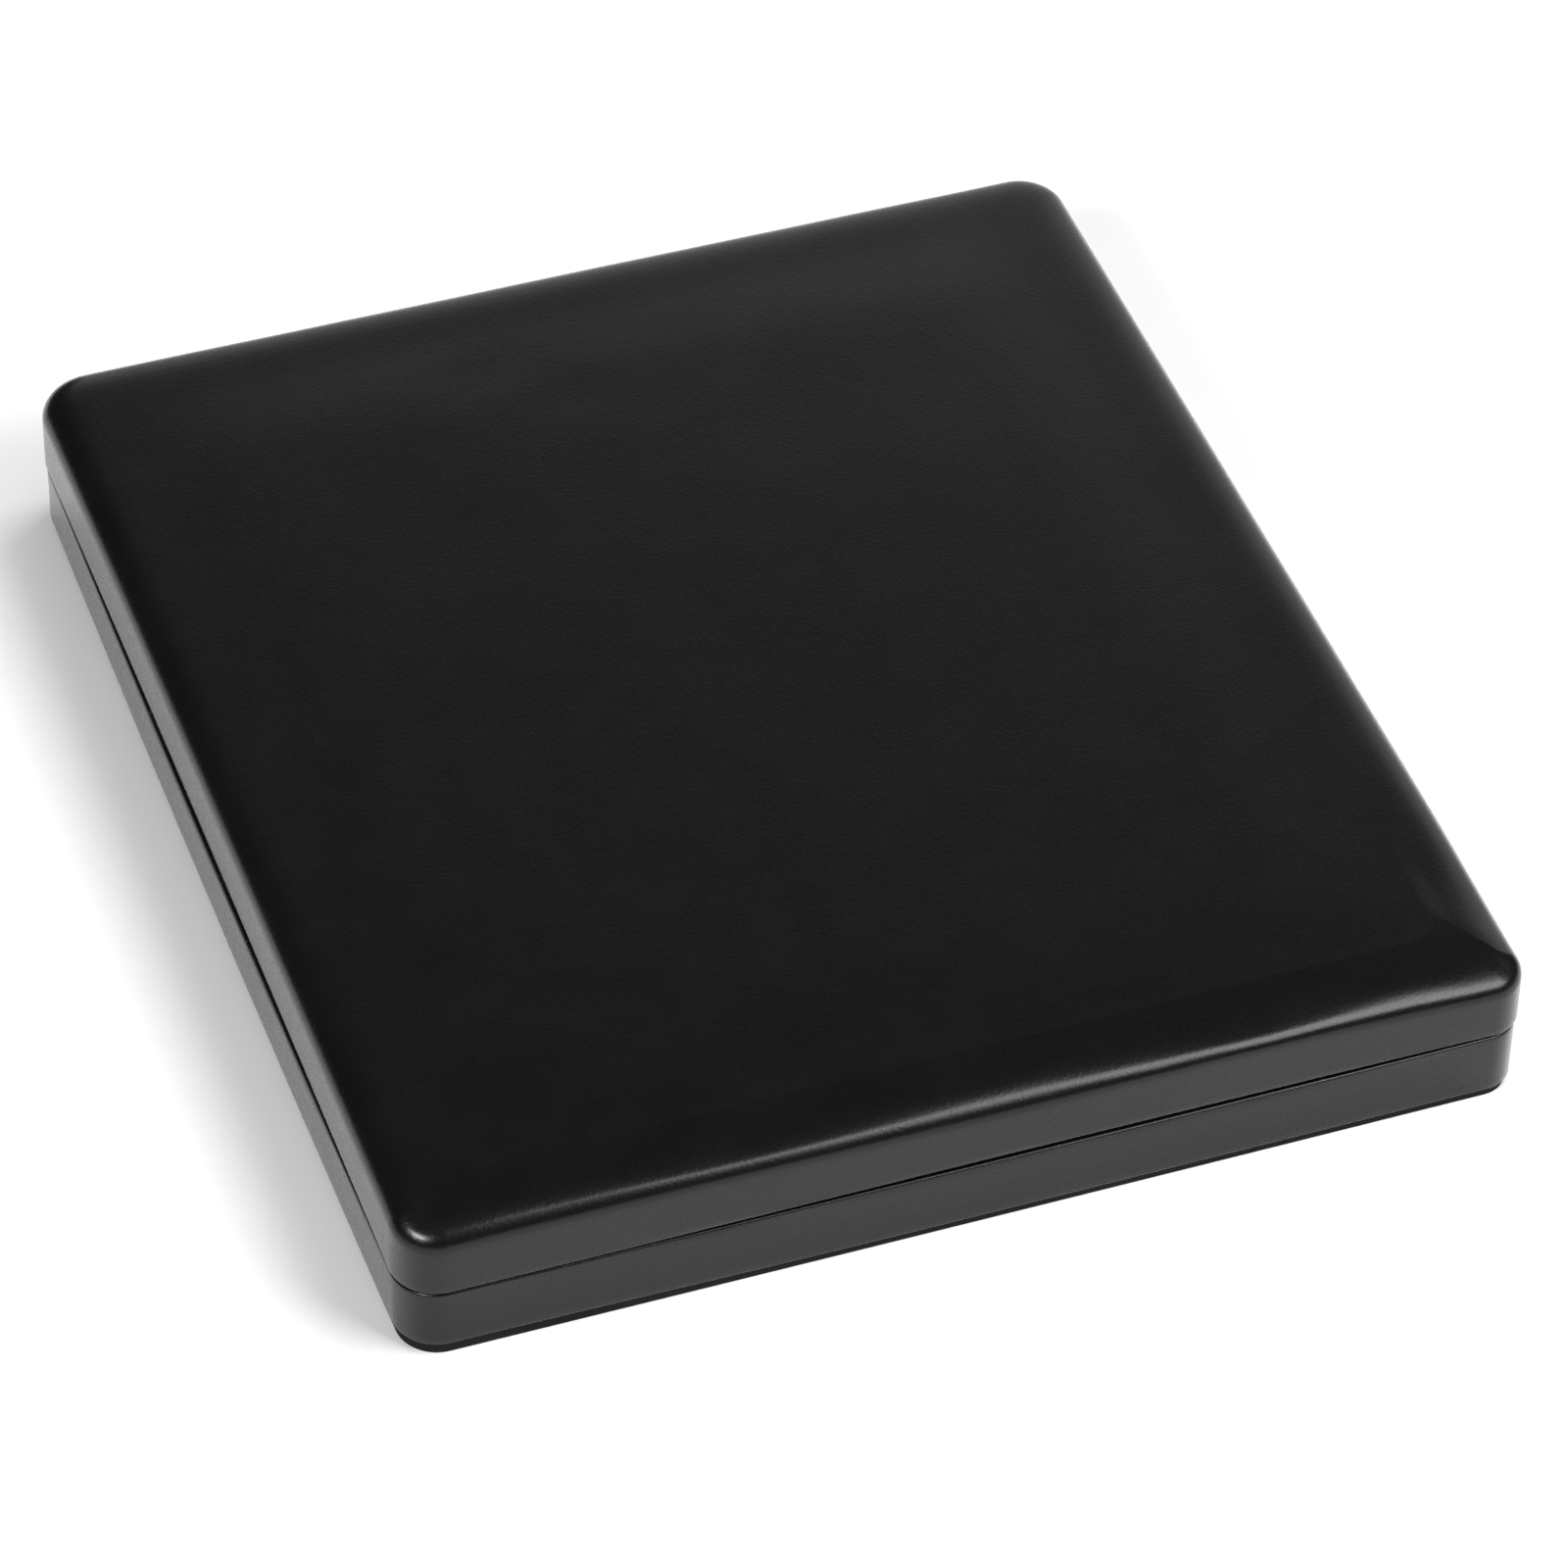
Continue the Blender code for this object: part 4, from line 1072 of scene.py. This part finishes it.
def make_lid_padding(shape):
    """The foam under the lid's skin, thinner towards its edge."""
    skin = Skin()
    edge_room, crown_room, middle_room = 0.15 * MM, 0.2 * MM, 0.35 * MM
    thinnest = 0.1 * MM
    distance = shape.skin + shape.glue_gap + edge_room

    def over_plate(x, y, z):
        return x, y, max(z, FOAM_BOTTOM)

    rings = []
    for ring in shoulder_rings(skin, shape, distance, over_plate):
        if min(skin.points[i][2] for i in ring) > FOAM_BOTTOM + thinnest:
            rings.append(ring)
    lowest = skin.add([(x, y, FOAM_BOTTOM) for x, y, _ in (skin.points[i] for i in rings[0])])
    crown_at = shape.shoulder_width + CROWN_START
    top = skin.ring(crown_at, lambda x, y: lid_crown(shape, x, y, distance + crown_room), shape)
    skin.join([lowest, *rings, top])
    skin.cap(top, lambda x, y: lid_crown(shape, x, y, distance + middle_room) - dents(x, y))
    skin.cap(lowest, lambda x, y: FOAM_BOTTOM)
    return skin.build("lid_padding")


# The lower half's skin, its backing and its tray

FOOT_LOWEST = BASE_LOW.z + 0.9 * MM
FOOT_FALLS_FROM = -80 * MM
FOOT_FALLS_OVER = 70 * MM


def slack_rim(shape, x, y):
    """Radius of the lower half's rim, which is widest in the middle of the left side."""
    right_share, closes_at = 0.4, 0.97 * HALF_Y
    share = near_edge(x, HALF_X, 0.9) * middle_share(y, closes_at)
    if x >= 0:
        share *= right_share
    return shape.rim_radius + (shape.slack_rim_radius - shape.rim_radius) * share


def foot_top(shape, up=0.0):
    """Says how high the recessed foot reaches at each x, y: most at the left and less towards the right."""
    fall = shape.plinth_height - FOOT_LOWEST
    return lambda x, y: FOOT_LOWEST + fall * (1 - smoothstep((x - FOOT_FALLS_FROM) / FOOT_FALLS_OVER)) + up


def wall_ring(skin, shape, inset, height, amount):
    """A ring of the lower skin's outside, waved by this amount."""
    placed = []
    for x, y, out_x, out_y in plan_outline(inset, shape, shape.base_bow):
        z = height(x, y) if callable(height) else height
        placed.append(wall_wave(x, y, z, out_x, out_y, amount))
    return skin.add(placed)


def foot_rings(skin, shape, foot):
    """Rings from under the floor, round the foot's lower edge and up to its lip under the wall."""
    low, small = BASE_LOW.z, 0.2 * MM
    lip_drop, lip_step = 0.1 * MM, 0.05 * MM
    under = BASE_INSET + shape.turn_under
    rings = []
    for share in (0.0, 0.5, 1.0):
        inset = foot + small + (1 - share) * (under - foot - small)
        rings.append(
            skin.ring(inset, lambda x, y: low + pleats(x, y, FLOOR_PLEAT_DEPTH), shape, shape.base_bow)
        )
    for sine, cosine in quarter_turn(3):
        rings.append(wall_ring(skin, shape, foot + small * (1 - sine), low + small * (1 - cosine), 0.0))
    rings.append(wall_ring(skin, shape, foot, foot_top(shape, -lip_drop), 0.0))
    rings.append(wall_ring(skin, shape, foot - lip_step, foot_top(shape), 0.0))
    return rings


def base_wall_rings(skin, shape):
    """Rings round the wall's lower edge, up the wall and over its rim."""
    edge, outer = shape.bottom_radius, BASE_INSET
    foot = foot_top(shape)
    rings = []
    for step, (sine, cosine) in enumerate(quarter_turn(6, first=0)):
        height = foot_top(shape, edge * (1 - cosine))
        rings.append(wall_ring(skin, shape, outer + edge * (1 - sine), height, WALL_WAVE * step / 6))

    def up_wall(share):
        def height(x, y):
            bottom = foot(x, y) + edge
            return bottom + share * (base_rim(x, y) - slack_rim(shape, x, y) - bottom)

        return height

    for step in range(1, WALL_STEPS + 1):
        rings.append(wall_ring(skin, shape, outer, up_wall(step / WALL_STEPS), WALL_WAVE))
    for sine, cosine in quarter_turn(7):
        rings.append(
            skin.ring(
                outer,
                lambda x, y: base_rim(x, y) - slack_rim(shape, x, y) * (1 - sine),
                shape,
                shape.base_bow,
                push=lambda x, y: -slack_rim(shape, x, y) * (1 - cosine),
            )
        )
    return rings


def base_back_rings(skin, shape, foot):
    """Rings along the side of the lower skin that is glued to the shell, from the rim to under the floor."""
    near, behind, bow = shape.inner_face, shape.skin, shape.base_bow
    outer, floor = BASE_INSET + shape.skin, BASE_LOW.z + shape.skin
    slack_drop, foot_back, wall_foot, foot_edge = 0.3, 0.25 * MM, 0.45 * MM, 0.15 * MM

    def under_rim(x, y):
        return base_rim(x, y, behind)

    def under_slack_rim(x, y):
        return under_rim(x, y) - slack_drop * (slack_rim(shape, x, y) - shape.rim_radius)

    heights = (
        (near, under_rim),
        (0.5 * (near + outer), under_rim),
        (outer, under_slack_rim),
        (outer, foot_top(shape, wall_foot)),
        (foot + foot_back, foot_top(shape, foot_edge)),
        (foot + foot_back, floor),
        (BASE_INSET + shape.turn_under, floor),
    )
    return [skin.ring(inset, height, shape, bow) for inset, height in heights]


def make_base_leatherette(shape):
    """The lower skin: turned under the floor, up the wall, over the rim and down the inner face."""
    skin = Skin()
    foot = BASE_INSET + shape.plinth_inset
    rings = foot_rings(skin, shape, foot) + base_wall_rings(skin, shape)
    widest = BASE_INSET + shape.slack_rim_radius
    rings += turned_in(skin, shape, base_rim, -1, widest, shape.base_bow, (0.2, 0.5, 0.75, 1.0))
    rings += base_back_rings(skin, shape, foot)
    skin.join(rings, closed=True)
    thing = skin.build("base_leatherette")
    cut_away(thing, hinge_cutters(BASE_HIGH.z, -shape.turn_in))
    return thing


def make_backing(shape):
    """The backing paper on its thin board, which the box stands on, its edge turned up round the foot."""
    skin = Skin()
    thickness, edge, lip = 0.10 * MM, 0.22 * MM, 0.04 * MM
    below_foot, below_floor = 0.12 * MM, 0.08 * MM
    inset, bow = BASE_INSET + shape.backing_inset, shape.base_bow
    inside, floor_top = inset + thickness, BASE_LOW.z - below_floor
    foot = foot_top(shape)

    def turned_up(share, up=0.0):
        return lambda x, y: edge + share * (foot(x, y) - below_foot - edge) + up

    rings = []
    for sine, cosine in quarter_turn(4, first=0):
        rings.append(skin.ring(inset + edge * (1 - sine), edge * (1 - cosine), shape, bow))
    for share in (0.33, 0.66, 1.0):
        rings.append(skin.ring(inset, turned_up(share), shape, bow))
    rings.append(skin.ring(inset + thickness / 2, turned_up(1.0, lip), shape, bow))
    rings.append(skin.ring(inside, turned_up(1.0), shape, bow))
    rings.append(skin.ring(inside, floor_top, shape, bow))
    rings.append(skin.ring(shape.shoulder_width, floor_top, shape))
    skin.join(rings)
    skin.cap(rings[0], lambda x, y: 0.0)
    skin.cap(rings[-1], lambda x, y: floor_top)
    return skin.build("backing_panel")


def make_tray_velour(shape):
    """The velour over the tray frame: every edge softened by the pile."""
    smoothing_rounds, pile_depth = 4, 0.05 * MM
    thing = add_object("tray_velour", frame["nodes"]["tray_frame"].data.copy())
    remesh = thing.modifiers.new("pile", "REMESH")
    remesh.mode = "VOXEL"
    remesh.voxel_size = shape.velour_voxel
    remesh.adaptivity = 0.0
    mesh = keep_result(thing)
    body = bmesh.new()
    body.from_mesh(mesh)
    for _ in range(smoothing_rounds):
        bmesh.ops.smooth_vert(
            body, verts=body.verts, factor=0.5, use_axis_x=True, use_axis_y=True, use_axis_z=True
        )
    body.normal_update()
    for vert in body.verts:
        vert.co += vert.normal * (pile_depth * drift(*vert.co, pitch=2.3 * MM, seed=5.3))
    body.to_mesh(mesh)
    body.free()
    mesh.shade_smooth()
    return thing


# The lid's lining

SWELL_FRAMES = 20
SWELL_FURTHEST = 1.35 * MM
SATIN_SAG = 0.35 * MM


def make_lining(shape):
    """The satin over the lid's wadding: swollen by a short cloth simulation and held round its board."""
    skin = Skin()
    inset = LINING_LOW.x - LID_LOW.x
    side_low = WADDING_LOW.z + 1.0 * MM
    edge, thickness = 1.4 * MM, 0.35 * MM
    bottom = side_low - edge
    rings = []
    for share in (1.0, 0.66, 0.33, 0.0):
        rings.append(skin.ring(inset, side_low + share * (LINING_HIGH.z - side_low), shape))
    for sine, cosine in quarter_turn(4):
        rings.append(skin.ring(inset + edge * (1 - cosine), side_low - edge * sine, shape))
    held = [point for ring in rings[:5] for point in ring]
    skin.join(rings)

    def drop(x, y):
        across = middle_share(x, HALF_X - inset) * middle_share(y, HALF_Y - inset)
        return bottom - SATIN_SAG * across**0.4

    skin.cap(rings[-1], drop)
    thing = skin.build("lining_satin_cover", open_below=True)
    swell(thing, held, shape.satin_fullness)
    finer = thing.modifiers.new("finer", "SUBSURF")
    finer.levels = finer.render_levels = 1
    thick = thing.modifiers.new("cloth", "SOLIDIFY")
    thick.thickness = thickness
    thick.offset = -1.0
    keep_result(thing)
    thing.data.shade_smooth()
    return thing


def swell(thing, held, fullness):
    """Runs the cloth under pressure and keeps the result, with no point moved too far."""
    highest_rise = 0.2 * MM
    scene = bpy.context.scene
    start = [vert.co.copy() for vert in thing.data.vertices]
    group = thing.vertex_groups.new(name="held")
    group.add(held, 1.0, "REPLACE")
    cloth = thing.modifiers.new("swell", "CLOTH")
    settings = cloth.settings
    settings.quality = 6
    settings.mass = 0.15
    settings.tension_stiffness = settings.compression_stiffness = 18
    settings.shear_stiffness = 8
    settings.bending_stiffness = 0.15
    settings.use_pressure = True
    settings.uniform_pressure_force = 4.0
    settings.vertex_group_mass = "held"
    settings.shrink_min = -fullness
    settings.effector_weights.gravity = 0.0
    cloth.collision_settings.use_self_collision = False
    cloth.point_cache.frame_start, cloth.point_cache.frame_end = 1, SWELL_FRAMES
    for number in range(1, SWELL_FRAMES + 1):
        scene.frame_set(number)
    mesh = keep_result(thing)
    for vert, before in zip(mesh.vertices, start):
        move = vert.co - before
        if move.length > SWELL_FURTHEST:
            vert.co = before + move.normalized() * SWELL_FURTHEST
        vert.co.z = min(vert.co.z, before.z + highest_rise)
    thing.vertex_groups.clear()
    scene.frame_set(1)


def make_lining_padding(shape):
    """The wadding between the lining's board and its satin."""
    skin = Skin()
    inset = WADDING_LOW.x - LID_LOW.x
    top, edge = WADDING_HIGH.z, 1.2 * MM
    bottom = WADDING_LOW.z + 0.9 * MM
    rings = [skin.ring(inset, top, shape)]
    for sine, cosine in quarter_turn(4, first=0):
        rings.append(skin.ring(inset + edge * (1 - cosine), bottom + edge - edge * sine, shape))
    skin.join(rings)
    skin.cap(rings[0], lambda x, y: top)
    skin.cap(rings[-1], lambda x, y: bottom)
    return skin.build("lining_padding")


# One operator for each piece or group of like pieces, and one for the stage


class COINBOX_OT_stage(bpy.types.Operator):
    """Lays the floor, hangs the softboxes and stands the camera where the photograph was taken"""

    bl_idname = "coinbox.stage"
    bl_label = "Stage"

    def execute(self, context):
        stage = context.scene.coin_box_stage
        self.make_camera(context, stage)
        self.make_floor()
        self.make_lamps(stage)
        self.make_world(context)
        context.scene.view_settings.view_transform = "Standard"
        return {"FINISHED"}

    def make_camera(self, context, stage):
        a, e, r = stage.azimuth, stage.elevation, stage.roll
        back = Vector((math.sin(a) * math.cos(e), -math.cos(a) * math.cos(e), math.sin(e)))
        right = Vector((math.cos(a), math.sin(a), 0.0))
        up = back.cross(right)
        rolled_right = math.cos(r) * right + math.sin(r) * up
        rolled_up = math.cos(r) * up - math.sin(r) * right
        camera = add_object("photo_camera", bpy.data.cameras.new("photo_camera"))
        turn = Matrix((rolled_right, rolled_up, back)).transposed().to_4x4()
        camera.matrix_world = Matrix.Translation(Vector(stage.aim) + back * stage.distance) @ turn
        camera.data.lens = stage.lens
        camera.data.sensor_width = 36.0
        camera.data.clip_start, camera.data.clip_end = 0.05, 20.0
        context.scene.camera = camera

    def make_floor(self):
        reach, steps = 3.0, 12
        body = bmesh.new()
        bmesh.ops.create_grid(body, x_segments=steps, y_segments=steps, size=reach)
        floor = add_body("floor", body)
        floor.data.materials.append(Finishes.get("floor"))

    def make_lamps(self, stage):
        """Hangs each lamp at its place, of its size in metres, aimed at the origin."""
        lamps = (
            ("key_softbox", (0.50, 0.30, 1.15), (0.5, 0.6), stage.key_power, False),
            ("front_softbox", (0.385, -0.475, 0.61), (0.44, 0.44), stage.front_power, True),
            ("left_softbox", (-0.76, -0.64, 0.86), (0.30, 0.30), stage.left_power, True),
            ("fill_softbox", (0.10, -0.30, 1.5), (1.2, 0.9), stage.fill_power, False),
            ("back_panel", (0.828, 1.275, 0.50), (1.63, 1.04), stage.back_power, True),
        )
        for name, place, size, energy, mirrored in lamps:
            lamp = bpy.data.lights.new(name, "AREA")
            lamp.shape = "RECTANGLE"
            lamp.size, lamp.size_y = size
            lamp.energy = energy
            thing = add_object(name, lamp)
            thing.visible_glossy = mirrored
            thing.location = place
            thing.rotation_mode = "QUATERNION"
            thing.rotation_quaternion = Vector(place).to_track_quat("Z", "Y")

    def make_world(self, context):
        grey = 0.04
        world = bpy.data.worlds.new("dim_studio")
        world.use_nodes = True
        world.node_tree.nodes["Background"].inputs["Color"].default_value = (grey, grey, grey, 1.0)
        context.scene.world = world


class COINBOX_OT_lid_leatherette(bpy.types.Operator):
    """Stretches the leatherette over the lid"""

    bl_idname = "coinbox.lid_leatherette"
    bl_label = "Lid leatherette"

    def execute(self, context):
        thing = make_lid_leatherette(context.scene.coin_box_shape)
        dress(thing, "lid", "leatherette", "lid_cover")
        return {"FINISHED"}


class COINBOX_OT_lid_padding(bpy.types.Operator):
    """Lays the foam pad on the lid's plate"""

    bl_idname = "coinbox.lid_padding"
    bl_label = "Lid padding"

    def execute(self, context):
        thing = make_lid_padding(context.scene.coin_box_shape)
        dress(thing, "lid", "foam", "lid_foam")
        return {"FINISHED"}


class COINBOX_OT_base_leatherette(bpy.types.Operator):
    """Wraps the leatherette round the lower half"""

    bl_idname = "coinbox.base_leatherette"
    bl_label = "Base leatherette"

    def execute(self, context):
        thing = make_base_leatherette(context.scene.coin_box_shape)
        dress(thing, "base", "leatherette", "base_cover")
        return {"FINISHED"}


class COINBOX_OT_tray(bpy.types.Operator):
    """Covers the tray frame and its board with velour"""

    bl_idname = "coinbox.tray"
    bl_label = "Velour tray"

    def execute(self, context):
        thing = make_tray_velour(context.scene.coin_box_shape)
        dress(thing, "base", "velour", "tray_frame")
        repaint("tray_board", "velour")
        return {"FINISHED"}


class COINBOX_OT_lining(bpy.types.Operator):
    """Makes the lid's lining: wadding on its board, and satin over both"""

    bl_idname = "coinbox.lining"
    bl_label = "Lid lining"

    def execute(self, context):
        shape = context.scene.coin_box_shape
        padding = make_lining_padding(shape)
        dress(padding, "lid", "foam", "lining_wadding")
        satin = make_lining(shape)
        dress(satin, "lid", "satin", "lining_satin")
        repaint("lining_board", "board")
        return {"FINISHED"}


class COINBOX_OT_shells(bpy.types.Operator):
    """Finishes both moulded shells and glues the backing paper under the box"""

    bl_idname = "coinbox.shells"
    bl_label = "Shells and underside"

    def execute(self, context):
        repaint("base_shell", "plastic")
        repaint("lid_shell", "plastic")
        backing = make_backing(context.scene.coin_box_shape)
        dress(backing, "base", "paper", "underside_panel")
        return {"FINISHED"}


class COINBOX_OT_hinges(bpy.types.Operator):
    """Finishes both hinges in nickelled steel"""

    bl_idname = "coinbox.hinges"
    bl_label = "Hinges"

    def execute(self, context):
        for name in frame["nodes"]:
            if "_hinge_" not in name:
                continue
            if "rivet" in name or name.endswith("pin"):
                repaint(name, "rivet_steel")
            elif name.endswith("spring"):
                repaint(name, "spring_steel")
            else:
                repaint(name, "leaf_steel")
        return {"FINISHED"}


class VIEW3D_PT_coin_box(bpy.types.Panel):
    """Shows the settings of the coin slab box and lists its operators"""

    bl_label = "Coin Slab Box"
    bl_idname = "VIEW3D_PT_coin_box"
    bl_space_type = "VIEW_3D"
    bl_region_type = "UI"
    bl_category = "Coin Box"

    def draw(self, context):
        scene = context.scene
        for settings in (scene.coin_box_shape, scene.coin_box_finish, scene.coin_box_stage):
            box = self.layout.box()
            for name in settings.__annotations__:
                box.prop(settings, name)
        for operator in PIECES:
            self.layout.operator(operator.bl_idname)


PIECES = (
    COINBOX_OT_stage,
    COINBOX_OT_shells,
    COINBOX_OT_lid_padding,
    COINBOX_OT_lid_leatherette,
    COINBOX_OT_base_leatherette,
    COINBOX_OT_tray,
    COINBOX_OT_lining,
    COINBOX_OT_hinges,
)
SETTINGS = (
    ("coin_box_shape", CoinBoxShape),
    ("coin_box_finish", CoinBoxFinish),
    ("coin_box_stage", CoinBoxStage),
)


def register():
    for name, group in SETTINGS:
        bpy.utils.register_class(group)
        setattr(bpy.types.Scene, name, bpy.props.PointerProperty(type=group))
    for operator in PIECES:
        bpy.utils.register_class(operator)
    bpy.utils.register_class(VIEW3D_PT_coin_box)


def unregister():
    bpy.utils.unregister_class(VIEW3D_PT_coin_box)
    for operator in reversed(PIECES):
        bpy.utils.unregister_class(operator)
    for name, group in reversed(SETTINGS):
        delattr(bpy.types.Scene, name)
        bpy.utils.unregister_class(group)


def main():
    register()
    for operator in PIECES:
        family, name = operator.bl_idname.split(".")
        getattr(getattr(bpy.ops, family), name)()


if __name__ == "__main__":
    main()
